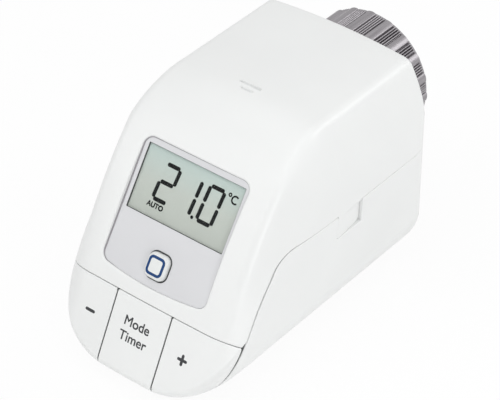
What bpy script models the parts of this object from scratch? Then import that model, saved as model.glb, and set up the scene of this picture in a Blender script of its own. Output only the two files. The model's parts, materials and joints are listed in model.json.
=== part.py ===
"""Electronic thermostatic radiator valve head, in metres, +Z up, nut towards +Y."""
import math

import bmesh
import bpy
import numpy as np
from mathutils import Matrix, Vector

for old in list(bpy.data.objects):
    bpy.data.objects.remove(old, do_unlink=True)

MM = 0.001

# Overall body, in millimetres
HALF_WIDTH = 29.1
ROOF_Z = 65.0
AXIS_DROP = 22.25
AXIS_Z = ROOF_Z - AXIS_DROP
WALL = 2.0

# Slanting face: where the key line meets it, tilt from upright, bow of the face in side view,
# and how far above the key line it turns straight
KEY_LINE_Y = -42.304
KEY_LINE_Z = 23.151
FACE_TILT = math.radians(34.25)
FACE_R = 150.0
KEY_FLAT_RISE = 3.4

# Section of the body
ROOF_CROWN_R = 200.0
FACE_CROWN_R = 500.0
SIDE_R = 49.4
ROOF_SIDE_DROP = 26.5
FACE_SIDE_DROP = 22.5
EDGE_R = 3.0
CHIN_SIDE_DROP = 11.8
CHIN_EDGE_R = 11.3
CHIN_BLEND = 12.0              # height that a section needs to take the chin's side
BOTTOM_R = 20.7
SIDE_LEAN = 1.0
BOTTOM_FLAT = HALF_WIDTH - BOTTOM_R - SIDE_LEAN
ROOF_BEND_R = 26.0
CHIN_R = 2.0
KEEL_R = 13.2
REAR_EDGE_R = 3.0
REAR_LIP_R = 1.2

# Clearances
FIT = 0.3
SEAM_GAP = 0.45
KEY_GAP = 0.8
KEY_SPLIT = 0.45
SLACK = 0.6

# Seam between the housing and the battery cover
SEAM_DROP = 3.25
SEAM_Z = AXIS_Z - SEAM_DROP
SEAM_DEPTH = 6.6
SEAM_BEND_R = 10.5
SEAM_FOOT_LEAN = math.radians(17.0)
TAB_FRONT_Y = -2.3
TAB_REAR_Y = 7.5
TAB_LENGTH = 7.1

# Display
PANEL_BORDER = 12.48
PANEL_HALF_X = HALF_WIDTH - PANEL_BORDER
PANEL_TOP_DROP = 10.315
PANEL_LOW_BORDER = 4.65
FACE_RUN = (ROOF_Z - PANEL_TOP_DROP - KEY_LINE_Z) / math.cos(FACE_TILT)
PANEL_HALF_V = (FACE_RUN - PANEL_LOW_BORDER) / 2
PANEL_CORNER_R = 2.7
PANEL_BOW = 1.0
PANEL_SINK = 0.5
PANEL_SKIN = 0.8
LCD_BORDER = 1.39
LCD_TOP_EDGE = 1.7
LCD_HALF_X = PANEL_HALF_X - LCD_BORDER
LCD_TOP_V = PANEL_HALF_V - LCD_TOP_EDGE
LCD_LOW_EDGE = 14.75
LCD_LOW_V = LCD_LOW_EDGE - PANEL_HALF_V
LCD_THICK = 1.6
BOARD_THICK = 1.2
BOARD_LOW_INSET = 11.1
BOARD_LOW_HALF_X = HALF_WIDTH - BOARD_LOW_INSET
FLANGE_GROW = 0.7
POST_HALF = 1.9
POST_ROOM = 0.38
POST_X = PANEL_HALF_X + FLANGE_GROW + POST_HALF + POST_ROOM
BOARD_EDGE = 2.0
BOARD_HALF_X = POST_X + BOARD_EDGE

# Keys
KEY_TOP_V = -PANEL_HALF_V - PANEL_LOW_BORDER
KEY_SPLIT_X = 8.76
KEY_PIN_DOWN = 2.2
KEY_PIN_V = KEY_TOP_V - KEY_PIN_DOWN
KEY_PIN_ROOM = 2.2
KEY_PIN_R = 0.7
KEY_PUSH_DOWN = 8.6
KEY_PUSH_V = KEY_TOP_V - KEY_PUSH_DOWN
KEY_PUSH_INSET = 14.1
KEY_PUSH_X = HALF_WIDTH - KEY_PUSH_INSET
PUSH_DROP = 1.0
SWITCH_ROOM = 2.5

# System button
BUTTON_UP = 4.85
BUTTON_V = BUTTON_UP - PANEL_HALF_V
BUTTON_W = 6.3
BUTTON_H = 6.6
BUTTON_R = 1.8
BUTTON_TOP = 0.9
RING_W = 5.05
RING_STROKE = 0.55

# Valve end
COLLAR_R = 12.8
SPIGOT_STEP = 2.3
FLANGE_R = 17.0
FLANGE_T = 2.2
SEAT_REACH = 5.6
NUT_REACH = 15.6
NUT_BORE_R = 14.2
NUT_TIP_R = 18.05
NUT_RIB_R = 17.45
NUT_GROOVE_R = 17.0
NUT_LOBES = 19
NUT_RIBS = 4
NUT_LIP_T = 2.7

# Drive
GEAR_M = 0.5
SPINDLE_TEETH = 44
IDLER_SMALL_TEETH = 12
IDLER_BIG_TEETH = 32
PINION_TEETH = 10
MESH_SLACK = 0.1
MOTOR_DROP = 13.0
MOTOR_Z = ROOF_Z - MOTOR_DROP
MOTOR_R = 7.6
MOTOR_LENGTH = 20.5
MOTOR_EDGE = 0.6
NOSE_R = 3.0
NOSE_LENGTH = 1.7
CAP_STEP = 0.5
CAP_T = 1.6
CAP_HUB_R = 3.2
CAP_HUB = 1.0
TRAIN_DEPTH = 14.4
PLATE_T = 2.0
PUSHER_R = 3.0
PUSHER_HEAD = 8.0
AXLE_R = 1.0

# Cells, standard AA
CELL_R = 7.25
CELL_LENGTH = 50.5
CELL_NUB_R = 2.75
CELL_NUB = 1.0
CELL_APART = 1.5
CELL_X = CELL_R + CELL_APART / 2
SPRING_SPACE = 4.4
SPRING_R = 4.3
SPRING_TAPER = 1.4
WIRE_R = 0.35
CONTACT_T = 0.5
CONTACT_HALF_X = 5.5
CONTACT_HALF_Z = 4.5
BAY_FRONT_Y = -28.4
BULK_T = 2.2
DECK_T = 1.8

# The cells and the drive behind them set how far the body reaches back
BAY_REAR_Y = BAY_FRONT_Y + CELL_LENGTH + SPRING_SPACE + 2 * CONTACT_T + 3 * FIT
FLANGE_Y = BAY_REAR_Y + BULK_T + FIT
REAR_Y = FLANGE_Y + FLANGE_T + FIT + WALL
SEAT_Y = REAR_Y + SEAT_REACH
NUT_END_Y = REAR_Y + NUT_REACH
PLATE_Y = FLANGE_Y - TRAIN_DEPTH

NORMAL = np.array([0.0, -math.cos(FACE_TILT), math.sin(FACE_TILT)])
UPFACE = np.array([0.0, math.sin(FACE_TILT), math.cos(FACE_TILT)])
FACE_MID = np.array([0.0, KEY_LINE_Y, KEY_LINE_Z]) - KEY_TOP_V * UPFACE
FACE_SAG = PANEL_HALF_V ** 2 / (2 * FACE_R)
ARC_Y, ARC_Z = (FACE_MID + (FACE_SAG - FACE_R) * NORMAL)[1:]


FLAT_V = KEY_TOP_V + KEY_FLAT_RISE
FLAT_TURN = math.asin(-FLAT_V / FACE_R)


def face_depth(v):
    """Where the face lies, off the flat plane of the panel, at height v along it."""
    bowed = FACE_SAG - FACE_R + math.sqrt(FACE_R ** 2 - max(v, FLAT_V) ** 2)
    return bowed + min(v - FLAT_V, 0.0) * math.tan(FLAT_TURN)


# The keys follow the face, and the board lies behind their switches
KEY_PIN_D = face_depth(KEY_PIN_V) - WALL - KEY_PIN_ROOM
PUSH_LOW = face_depth(KEY_PUSH_V) - WALL - PUSH_DROP
BOARD_D = PUSH_LOW - SWITCH_ROOM

parts = bpy.data.collections.new("thermostatic_radiator_valve")
cutters = bpy.data.collections.new("cutters")
bpy.context.scene.collection.children.link(parts)
bpy.context.scene.collection.children.link(cutters)


def paint(name, colour, rough, metal=0.0):
    mat = bpy.data.materials.new(name)
    mat.use_nodes = True
    shader = mat.node_tree.nodes["Principled BSDF"]
    shader.inputs["Base Color"].default_value = (*colour, 1.0)
    shader.inputs["Roughness"].default_value = rough
    shader.inputs["Metallic"].default_value = metal
    return mat


WHITE = paint("white_abs", (0.82, 0.83, 0.82), 0.45)
GREY = paint("panel_grey", (0.66, 0.66, 0.68), 0.5)
CLEAR = paint("clear_window", (0.85, 0.88, 0.87), 0.05)
GLASS = paint("lcd_glass", (0.45, 0.50, 0.45), 0.1)
BLUE = paint("light_guide_blue", (0.03, 0.08, 0.30), 0.3)
NUTGREY = paint("nut_satin", (0.36, 0.34, 0.36), 0.35, 0.7)
BOARD = paint("board_green", (0.03, 0.16, 0.07), 0.5)
FRAME = paint("chassis_grey", (0.30, 0.31, 0.33), 0.55)
RUBBER = paint("rubber_strip", (0.05, 0.05, 0.05), 0.8)
SWITCH = paint("switch_black", (0.03, 0.03, 0.03), 0.4)
TIN = paint("tin_can", (0.62, 0.62, 0.60), 0.3, 1.0)
STEEL = paint("steel", (0.55, 0.55, 0.56), 0.25, 1.0)
NICKEL = paint("nickel_spring", (0.66, 0.64, 0.60), 0.25, 1.0)
BRASS = paint("brass", (0.60, 0.44, 0.16), 0.3, 1.0)
GEARWHITE = paint("gear_acetal", (0.75, 0.73, 0.66), 0.4)
CELLWRAP = paint("cell_wrap", (0.05, 0.06, 0.07), 0.35)
ACETAL = paint("collar_black", (0.07, 0.07, 0.08), 0.4)


# Mesh helpers
def solid(name, verts, faces, mat=None, home=None):
    mesh = bpy.data.meshes.new(name)
    build = bmesh.new()
    made = [build.verts.new(Vector(v) * MM) for v in verts]
    for face in faces:
        build.faces.new([made[i] for i in face])
    bmesh.ops.recalc_face_normals(build, faces=build.faces)
    build.to_mesh(mesh)
    build.free()
    item = bpy.data.objects.new(name, mesh)
    if mat is None:
        item.hide_render = True
        item.display_type = "WIRE"
        cutters.objects.link(item)
    else:
        mesh.materials.append(mat)
        parts.objects.link(item)
    if home is not None:
        place(item, home)
    return item


def place(item, home):
    point = Vector(home) * MM
    item.data.transform(Matrix.Translation(-point))
    item.location = point


def loft(name, rings, mat=None, home=None):
    count = len(rings[0])
    verts = [p for ring in rings for p in ring]
    faces = []
    for i in range(len(rings) - 1):
        for j in range(count):
            k = (j + 1) % count
            faces.append((i * count + j, i * count + k, (i + 1) * count + k, (i + 1) * count + j))
    faces.append(tuple(range(count)))
    last = (len(rings) - 1) * count
    faces.append(tuple(range(last + count - 1, last - 1, -1)))
    return solid(name, verts, faces, mat, home)


def prism_x(name, outline, x0, x1, mat=None, home=None):
    rings = [[(x, y, z) for y, z in outline] for x in (x0, x1)]
    return loft(name, rings, mat, home)


def prism_y(name, outline, y0, y1, mat=None, home=None):
    rings = [[(x, y, z) for x, z in outline] for y in (y0, y1)]
    return loft(name, rings, mat, home)


def on_face(x, v, d):
    return np.array([x, 0.0, 0.0]) + FACE_MID + v * UPFACE + d * NORMAL


def prism_face(name, outline, d0, d1, mat=None, home=None):
    rings = [[on_face(x, v, d) for x, v in outline] for d in (d0, d1)]
    return loft(name, rings, mat, home)


def rect(x0, x1, v0, v1):
    return [(x0, v0), (x1, v0), (x1, v1), (x0, v1)]


def box(name, x0, x1, y0, y1, z0, z1, mat=None, home=None):
    return prism_y(name, rect(x0, x1, z0, z1), y0, y1, mat, home)


def lathe(name, profile, base, axis, count, mat=None, home=None):
    axis = np.array(axis, float)
    side = np.cross(axis, (1.0, 0.0, 0.0))
    if np.linalg.norm(side) < 0.5:
        side = np.cross(axis, (0.0, 0.0, 1.0))
    side /= np.linalg.norm(side)
    other = np.cross(axis, side)
    turn = 2 * math.pi / count
    rings = []
    for r, a in profile:
        centre = np.array(base, float) + a * axis
        rings.append([
            centre + r * (math.cos(i * turn) * side + math.sin(i * turn) * other)
            for i in range(count)
        ])
    return loft(name, rings, mat, home)


def drum_y(name, cx, cz, profile, count, mat=None, home=None):
    return lathe(name, profile, (cx, 0, cz), (0, 1, 0), count, mat, home)


def join(item, other, how):
    step = item.modifiers.new(how.lower(), "BOOLEAN")
    step.operation = how
    step.solver = "EXACT"
    step.object = other


def cut(item, *tools):
    for tool in tools:
        join(item, tool, "DIFFERENCE")


def weld(item, *tools):
    for tool in tools:
        join(item, tool, "UNION")


def keep(item, *tools):
    for tool in tools:
        join(item, tool, "INTERSECT")


def arc(cy, cz, r, a0, a1, count):
    return [
        (cy + r * math.cos(a0 + (a1 - a0) * i / count), cz + r * math.sin(a0 + (a1 - a0) * i / count))
        for i in range(count + 1)
    ]


def round_rect(half_x, low_v, top_v, r, steps, bow=0.0):
    points = []
    corners = ((half_x - r, top_v - r, 0), (-half_x + r, top_v - r, 1))
    for cx, cv, quarter in corners:
        points += arc(cx, cv, r, quarter * math.pi / 2, (quarter + 1) * math.pi / 2, steps)
    points += arc(-half_x + r, low_v + r, r, math.pi, 1.5 * math.pi, steps)
    if bow:
        for k in range(1, 8):
            x = (half_x - r) * (k / 4 - 1)
            points.append((x, low_v - bow * (1 - (x / (half_x - r)) ** 2)))
    points += arc(half_x - r, low_v + r, r, 1.5 * math.pi, 2 * math.pi, steps)
    return points


# Body skin: upright slices at set widths, each one a closed side outline
def edge_arc(crown_r, side_drop, edge_r, inset):
    """Radius and centre of the long edge's round, and the half-widths where it starts and ends."""
    edge = max(edge_r - inset, 0.5)
    side_x = HALF_WIDTH - SIDE_R
    big, small = crown_r - inset - edge, SIDE_R - inset - edge
    gap = math.hypot(side_x, crown_r - side_drop)
    along = (big ** 2 - small ** 2 + gap ** 2) / (2 * gap)
    high = math.sqrt(big ** 2 - along ** 2)
    ux, ut = side_x / gap, (side_drop - crown_r) / gap
    fx, ft = along * ux - high * ut, crown_r + along * ut + high * ux
    start = fx * (crown_r - inset) / big
    end = side_x + (fx - side_x) * (SIDE_R - inset) / small
    return edge, fx, ft, start, end


def drop(x, crown_r, side_drop, edge_r, inset):
    """Depth of the skin below the roof or face line at half-width x."""
    edge, fx, ft, start, end = edge_arc(crown_r, side_drop, edge_r, inset)
    if x <= start:
        return crown_r - math.sqrt((crown_r - inset) ** 2 - x * x)
    if x <= end:
        return ft - math.sqrt(max(edge ** 2 - (x - fx) ** 2, 0.0))
    reach = min(x - HALF_WIDTH + SIDE_R, SIDE_R - inset - 0.044)
    return side_drop - math.sqrt((SIDE_R - inset) ** 2 - reach ** 2)


def keel(x, inset):
    """Height of the underside at half-width x."""
    r = BOTTOM_R - inset
    if x <= BOTTOM_FLAT:
        return inset
    if x < BOTTOM_FLAT + r:
        return BOTTOM_R - math.sqrt(r * r - (x - BOTTOM_FLAT) ** 2)
    lean = HALF_WIDTH - BOTTOM_FLAT - BOTTOM_R
    rise = ROOF_Z - ROOF_SIDE_DROP - BOTTOM_R
    return BOTTOM_R + min((x - BOTTOM_FLAT - r) / lean, 0.75) * rise


def slice_ring(x, inset):
    roof = drop(x, ROOF_CROWN_R, ROOF_SIDE_DROP, EDGE_R, inset)
    front = drop(x, FACE_CROWN_R, FACE_SIDE_DROP, EDGE_R, inset)
    chin = drop(x, FACE_CROWN_R, CHIN_SIDE_DROP, CHIN_EDGE_R, inset)
    low = keel(x, inset)
    past = max(x + inset - HALF_WIDTH + REAR_EDGE_R, 0.0)
    rear = REAR_Y - inset - REAR_EDGE_R + math.sqrt(REAR_EDGE_R ** 2 - min(past, REAR_EDGE_R) ** 2)
    lip = max(REAR_LIP_R - inset, 0.4)
    ring = arc(rear - lip, ROOF_Z - roof - lip, lip, 0.0, math.pi / 2, 2)
    bend = max(ROOF_BEND_R - front, 0.4)
    bend_z = ROOF_Z - front - bend
    bend_y = ARC_Y - math.sqrt((FACE_R - front - bend) ** 2 - (bend_z - ARC_Z) ** 2)
    a_bend = math.atan2(bend_z - ARC_Z, bend_y - ARC_Y)
    count = 8
    for i in range(count + 1):
        a = math.pi / 2 + (a_bend - math.pi / 2) * i / count
        lift = (front - roof) * (1 - i / count)
        r = bend + lift
        ring.append((bend_y + r * math.cos(a), bend_z + r * math.sin(a)))
    shrink = min((ROOF_Z - roof - low - 1.0) / 12.0, 1.0)
    r1, r2 = max(CHIN_R - inset, 0.6) * shrink, (KEEL_R - inset) * shrink
    chin_z = low + r2 - (r2 - r1) * math.sqrt(0.5)
    blend = min(max(bend_z - chin_z, 0.0) / CHIN_BLEND, 1.0)
    chin = front + (chin - front) * blend ** 2 * (3 - 2 * blend)
    reach = FACE_R - chin - r1
    a_flat = math.pi - FACE_TILT + FLAT_TURN
    run = max((chin_z - ARC_Z - reach * math.sin(a_flat)) / math.cos(a_flat), 0.0)
    a_chin = a_flat if run > 0 else math.pi - math.asin((chin_z - ARC_Z) / reach)
    chin_y = ARC_Y + reach * math.cos(a_chin) - run * math.sin(a_chin)
    bowed = (FACE_R - front) * (a_chin - a_bend)
    for i in range(1, count + 1):
        share = i / count
        r = FACE_R - front - (chin - front) * share ** 2 * (3 - 2 * share)
        way = share * (bowed + run)
        a = a_bend + min(way, bowed) / (FACE_R - front)
        on = max(way - bowed, 0.0)
        ring.append((ARC_Y + r * math.cos(a) - on * math.sin(a), ARC_Z + r * math.sin(a) + on * math.cos(a)))
    ring += arc(chin_y, chin_z, r1, a_chin, 1.25 * math.pi, 4)[1:]
    keel_y = chin_y + (r2 - r1) * math.sqrt(0.5)
    keel_z = chin_z + (r2 - r1) * math.sqrt(0.5)
    ring += arc(keel_y, keel_z, r2, 1.25 * math.pi, 1.5 * math.pi, 3)[1:]
    ring += arc(rear - lip, low + lip, lip, -math.pi / 2, 0.0, 2)
    return ring


def body(name, inset, mat=None):
    span = HALF_WIDTH - inset
    first = edge_arc(ROOF_CROWN_R, ROOF_SIDE_DROP, EDGE_R, inset)[3]
    last = edge_arc(FACE_CROWN_R, FACE_SIDE_DROP, EDGE_R, inset)[4]
    levels = [first * f for f in (0.0, 0.36, 0.6, 0.78, 0.9)]
    levels += [first + (last - first) * k / 7 for k in range(8)]
    levels += [last + (span - last) * f for f in (0.22, 0.45, 0.66, 0.84, 0.95, 1.0)]
    rings = []
    for x in [-x for x in levels[:0:-1]] + levels:
        rings.append([(x, y, z) for y, z in slice_ring(abs(x), inset)])
    return loft(name, rings, mat)


FAR = 90.0


# Seam line in side view, from the rear over the latch tab, then down behind the face
def seam_line():
    low = SEAM_Z - TAB_LENGTH
    line = [(REAR_Y + 20.0, SEAM_Z), (TAB_REAR_Y, SEAM_Z), (TAB_REAR_Y, low)]
    line += [(TAB_FRONT_Y, low), (TAB_FRONT_Y, SEAM_Z)]
    corner_v = (SEAM_Z - on_face(0, 0, -SEAM_DEPTH)[2]) / UPFACE[2]
    corner_y = on_face(0, corner_v, -SEAM_DEPTH)[1]
    turn = math.pi / 2 - FACE_TILT
    start_y = corner_y + SEAM_BEND_R * math.tan(turn / 2)
    line += arc(start_y, SEAM_Z - SEAM_BEND_R, SEAM_BEND_R, math.pi / 2, math.pi / 2 + turn, 6)
    foot_y, foot_z = on_face(0, KEY_TOP_V, -SEAM_DEPTH)[1:]
    line.append((foot_y, foot_z))
    line.append((foot_y - FAR * math.sin(SEAM_FOOT_LEAN), foot_z - FAR * math.cos(SEAM_FOOT_LEAN)))
    return line


def beside(line, shift):
    """The line moved sideways; plus is up and to the front."""
    points = [np.array(p) for p in line]
    moved = []
    for i, p in enumerate(points):
        sides = []
        for a, b in ((i - 1, i), (i, i + 1)):
            if a >= 0 and b < len(points):
                way = (points[b] - points[a]) / np.linalg.norm(points[b] - points[a])
                sides.append(np.array([way[1], -way[0]]))
        mean = sum(sides) / len(sides)
        moved.append(tuple(p + mean * shift / float(mean @ mean)))
    return moved


SEAM = seam_line()
outer = body("outer_block", 0.0)
inner = body("inner_block", WALL)
upper_frame = [(-2 * FAR, -FAR), (-2 * FAR, FAR), (REAR_Y + 20, FAR)]
above = prism_x("above_seam", beside(SEAM, SEAM_GAP / 2) + upper_frame, -FAR, FAR)
below = prism_x("below_seam", beside(SEAM, -SEAM_GAP / 2) + [(REAR_Y + 20, -FAR)], -FAR, FAR)
KEY_FRONT = beside(SEAM[5:], KEY_GAP - SEAM_GAP / 2) + [(-2 * FAR, -FAR), (-2 * FAR, FAR), (SEAM[5][0], FAR)]


def under_key_line(name, x0, x1, v):
    return prism_face(name, rect(x0, x1, v - FAR, v), -30.0, 30.0)


WINDOW = round_rect(PANEL_HALF_X, -PANEL_HALF_V, PANEL_HALF_V, PANEL_CORNER_R, 4, PANEL_BOW)


def window_outline(grow):
    return round_rect(PANEL_HALF_X + grow, -PANEL_HALF_V - grow, PANEL_HALF_V + grow,
                      PANEL_CORNER_R + grow, 4, PANEL_BOW)


# Upper housing with window, roof slots, latch tabs, screw bosses and board posts
housing = body("upper_housing", 0.0, WHITE)
keep(housing, above)
cut(housing, under_key_line("key_room", -FAR, FAR, KEY_TOP_V), inner)
cut(housing, prism_face("window_cut", WINDOW, -12.0, 12.0))
neck_cut = drum_y("neck_cut", 0, AXIS_Z, [(COLLAR_R + FIT, 25.0), (COLLAR_R + FIT, 45.0)], 40)
cut(housing, neck_cut)
SLOTS = ((-3.4, 3.05, -0.5), (-1.7, 1.8, -2.3))
for i, (x0, x1, y) in enumerate(SLOTS):
    cut(housing, box(f"roof_slot_{i + 1}", x0, x1, y - 0.35, y + 0.35, ROOF_Z - 0.9, ROOF_Z + 5.0))

SCREW_R = 1.25
SCREW_HOLE_R = SCREW_R + FIT
SCREW_HEAD_R = 2.3
BOSS_INSET = 7.1
BOSS_X = HALF_WIDTH - BOSS_INSET
BOSS_HALF_Y = 3.4
BOSS_Y = (12.5, -6.0)
BOSS_LOW = SEAM_Z + SEAM_GAP / 2 + FIT
BOSS_TOP = BOSS_LOW + 9.0
EAR_TOP = BOSS_LOW - FIT
EAR_T = 2.0
SCREW_REACH = 6.5
for side, word in ((-1, "left"), (1, "right")):
    for y, where in zip(BOSS_Y, ("rear", "front")):
        xa, xb = sorted((side * (BOSS_X - 3.2), side * (HALF_WIDTH - WALL + 0.2)))
        weld(housing, box(f"boss_{word}_{where}", xa, xb, y - BOSS_HALF_Y, y + BOSS_HALF_Y,
                          BOSS_LOW, BOSS_TOP))
        bore = [(SCREW_HOLE_R, -1.0), (SCREW_HOLE_R, SCREW_REACH + FIT)]
        cut(housing, lathe(f"boss_hole_{word}_{where}", bore, (side * BOSS_X, y, BOSS_LOW), (0, 0, 1), 12))

POST_V = -3.0
for side, word in ((-1, "left"), (1, "right")):
    xa, xb = side * POST_X - POST_HALF, side * POST_X + POST_HALF
    weld(housing, prism_face(f"board_post_{word}", rect(xa, xb, POST_V - POST_HALF, POST_V + POST_HALF),
                             BOARD_D + FIT, FACE_SAG - WALL + 0.5))
    cut(housing, lathe(f"post_hole_{word}", [(1.1, -0.5), (1.1, 3.2)],
                       on_face(side * POST_X, POST_V, BOARD_D + FIT), NORMAL, 10))

# Battery cover, pulled straight down
cover = body("battery_cover", 0.0, WHITE)
keep(cover, below)
cut(cover, inner, neck_cut)

# Keys on one hinge pin
KEY_PIN = on_face(0, KEY_PIN_V, KEY_PIN_D)
PIN_HOLE_R = KEY_PIN_R + FIT
half_split = KEY_SPLIT / 2
KEYS = (
    ("minus_key", -FAR, -KEY_SPLIT_X - half_split, -KEY_PUSH_X),
    ("centre_key", -KEY_SPLIT_X + half_split, KEY_SPLIT_X - half_split, 0.0),
    ("plus_key", KEY_SPLIT_X + half_split, FAR, KEY_PUSH_X),
)
PIN_INSET = 10.3
PIN_HALF = HALF_WIDTH - PIN_INSET
LUG_EDGE = 1.7
pin_cut = lathe("pin_cut", [(PIN_HOLE_R, -PIN_HALF - 3), (PIN_HOLE_R, PIN_HALF + 3)], KEY_PIN, (1, 0, 0), 12)
key_front = prism_x("key_front", KEY_FRONT, -FAR, FAR)
for name, x0, x1, push in KEYS:
    key = body(name, 0.0, WHITE)
    keep(key, under_key_line(f"{name}_room", x0, x1, KEY_TOP_V - SEAM_GAP), key_front)
    cut(key, inner)
    a, b = max(x0 + LUG_EDGE, -PIN_HALF), min(x1 - LUG_EDGE, PIN_HALF)
    weld(key, prism_face(f"{name}_lug", rect(a, b, KEY_PIN_V - 1.9, KEY_PIN_V + 1.5), KEY_PIN_D - 1.5,
                         face_depth(KEY_PIN_V - 1.9) - WALL * 0.6))
    cut(key, pin_cut)
    weld(key, prism_face(f"{name}_push", rect(push - 1.3, push + 1.3, KEY_PUSH_V - 1.3, KEY_PUSH_V + 1.3),
                         PUSH_LOW, face_depth(KEY_PUSH_V - 1.3) - WALL * 0.6))
    place(key, (push, KEY_PIN[1], KEY_PIN[2]))
lathe("key_hinge_pin", [(KEY_PIN_R, -PIN_HALF), (KEY_PIN_R, PIN_HALF)], KEY_PIN, (1, 0, 0), 12, STEEL)
for side, word in ((-1, "left"), (1, "right")):
    mid = side * KEY_SPLIT_X
    post = prism_face(f"hinge_post_{word}", rect(mid - 1.3, mid + 1.3, KEY_PIN_V - 1.9, KEY_PIN_V + 1.9),
                      BOARD_D + FIT, KEY_PIN_D + PIN_HOLE_R + 0.45, FRAME)
    cut(post, pin_cut)

# Display panel: a tray with a back flange, then window, LCD, light box and contact strip
plate_back = -PANEL_SINK - PANEL_SKIN
flange_front = -WALL - FIT * 2
panel = prism_face("display_panel", window_outline(-FIT), flange_front - 0.4, -PANEL_SINK, GREY)
weld(panel, prism_face("panel_flange", window_outline(FLANGE_GROW), flange_front - 0.7, flange_front))
cut(panel, prism_face("panel_pocket", window_outline(-0.75), flange_front - 5.0, plate_back))
cut(panel, prism_face("lcd_hole", rect(-LCD_HALF_X, LCD_HALF_X, LCD_LOW_V, LCD_TOP_V), -9.0, 9.0))
hole_grow = 0.25
BUTTON = round_rect(BUTTON_W / 2, BUTTON_V - BUTTON_H / 2, BUTTON_V + BUTTON_H / 2, BUTTON_R, 4)
BUTTON_HOLE = round_rect(BUTTON_W / 2 + hole_grow, BUTTON_V - BUTTON_H / 2 - hole_grow,
                         BUTTON_V + BUTTON_H / 2 + hole_grow, BUTTON_R + hole_grow, 4)
cut(panel, prism_face("button_hole", BUTTON_HOLE, -9.0, 9.0))

lens_gap = 0.15
prism_face("display_window", rect(-LCD_HALF_X + lens_gap, LCD_HALF_X - lens_gap, LCD_LOW_V + lens_gap,
                                  LCD_TOP_V - lens_gap), plate_back, -PANEL_SINK - 0.1, CLEAR)
lcd_front = plate_back - FIT / 2
lcd_back = lcd_front - LCD_THICK
LCD_EDGE = 0.05
LCD_LEDGE = 1.4
prism_face("lcd_glass", rect(-LCD_HALF_X - LCD_EDGE, LCD_HALF_X + LCD_EDGE, LCD_LOW_V - LCD_LEDGE,
                             LCD_TOP_V + LCD_EDGE), lcd_back, lcd_front, GLASS)
strip_top = LCD_LOW_V + 0.9
prism_face("contact_strip", rect(-LCD_HALF_X + 1.7, LCD_HALF_X - 1.7, LCD_LOW_V - LCD_LEDGE + 0.2, strip_top),
           BOARD_D + FIT, lcd_back - FIT, RUBBER)
light_box = prism_face("light_box", rect(-LCD_HALF_X, LCD_HALF_X, strip_top + FIT, LCD_TOP_V),
                       BOARD_D + FIT, lcd_back - FIT, WHITE)
cut(light_box, prism_face("light_room", rect(-LCD_HALF_X + 1.5, LCD_HALF_X - 1.5, strip_top + 1.8,
                                             LCD_TOP_V - 1.5), BOARD_D + 1.2, 0.0))

# System button and its light ring
home = on_face(0, BUTTON_V, 0)
button = prism_face("system_button", BUTTON, plate_back - 1.2, BUTTON_TOP, WHITE)
button_foot = plate_back - 1.6
weld(button, prism_face("button_flange", round_rect(BUTTON_W / 2 + 0.9, BUTTON_V - BUTTON_H / 2 - 0.9,
                                                    BUTTON_V + BUTTON_H / 2 + 0.9, BUTTON_R, 4),
                        button_foot, plate_back - 0.45))
groove_gap = 0.1


def square_ring(grow):
    half = RING_W / 2 + grow
    return round_rect(half, BUTTON_V - half, BUTTON_V + half, max(1.3 + grow, 0.3), 4)


groove = prism_face("ring_groove", square_ring(groove_gap), BUTTON_TOP - 0.8, BUTTON_TOP + 2.0)
cut(groove, prism_face("groove_core", square_ring(-RING_STROKE - groove_gap), -9.0, 9.0))
cut(button, groove)
ring = prism_face("light_ring", square_ring(0.0), BUTTON_TOP - 0.65, BUTTON_TOP + 0.03, BLUE)
cut(ring, prism_face("ring_core", square_ring(-RING_STROKE), -9.0, 9.0))
place(button, home)
place(ring, home)

# Circuit board with its switches and radio module
BOARD_FOOT = 14.1
BOARD_NECK = 1.4
BOARD_SLOPE = 2.0
BOARD_HEAD = 0.75
foot_v, neck_v, head_v = KEY_TOP_V - BOARD_FOOT, KEY_TOP_V + BOARD_NECK, PANEL_HALF_V + BOARD_HEAD
BOARD_OUT = [
    (-BOARD_LOW_HALF_X, foot_v), (BOARD_LOW_HALF_X, foot_v), (BOARD_LOW_HALF_X, neck_v),
    (BOARD_HALF_X, neck_v + BOARD_SLOPE), (BOARD_HALF_X, head_v), (-BOARD_HALF_X, head_v),
    (-BOARD_HALF_X, neck_v + BOARD_SLOPE), (-BOARD_LOW_HALF_X, neck_v),
]
board = prism_face("circuit_board", BOARD_OUT, BOARD_D - BOARD_THICK, BOARD_D, BOARD)
for side, word in ((-1, "left"), (1, "right")):
    spot = on_face(side * POST_X, POST_V, BOARD_D)
    cut(board, lathe(f"board_hole_{word}", [(1.3, -3.0), (1.3, 0.2)], spot, NORMAL, 10))
    under = -BOARD_THICK - FIT
    lathe(f"board_screw_{word}", [(1.8, under - 1.1), (1.8, under), (0.8, under), (0.8, 2.6)],
          spot, NORMAL, 10, STEEL)


SWITCH_HALF = 2.25


def key_switch(name, x, v, top):
    base = BOARD_D + FIT
    item = prism_face(name, rect(x - SWITCH_HALF, x + SWITCH_HALF, v - SWITCH_HALF, v + SWITCH_HALF), base,
                      top - 0.5, SWITCH)
    weld(item, lathe(f"{name}_stem", [(1.0, base + 0.4), (1.0, top)], on_face(x, v, 0), NORMAL, 12))


key_top = PUSH_LOW - 0.25
key_switch("switch_minus", -KEY_PUSH_X, KEY_PUSH_V, key_top)
key_switch("switch_centre", 0.0, KEY_PUSH_V, key_top)
key_switch("switch_plus", KEY_PUSH_X, KEY_PUSH_V, key_top)
BUTTON_TRAVEL = 0.5
key_switch("switch_system", 0.0, BUTTON_V, button_foot - BUTTON_TRAVEL - 0.2)
radio_front = BOARD_D - BOARD_THICK - FIT
RADIO_HALF_X = 9.0
RADIO_LOW_V = -10.0
RADIO_TOP_V = 4.0
RADIO_T = 2.4
prism_face("radio_module", rect(-RADIO_HALF_X, RADIO_HALF_X, RADIO_LOW_V, RADIO_TOP_V), radio_front - RADIO_T,
           radio_front, TIN)

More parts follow.
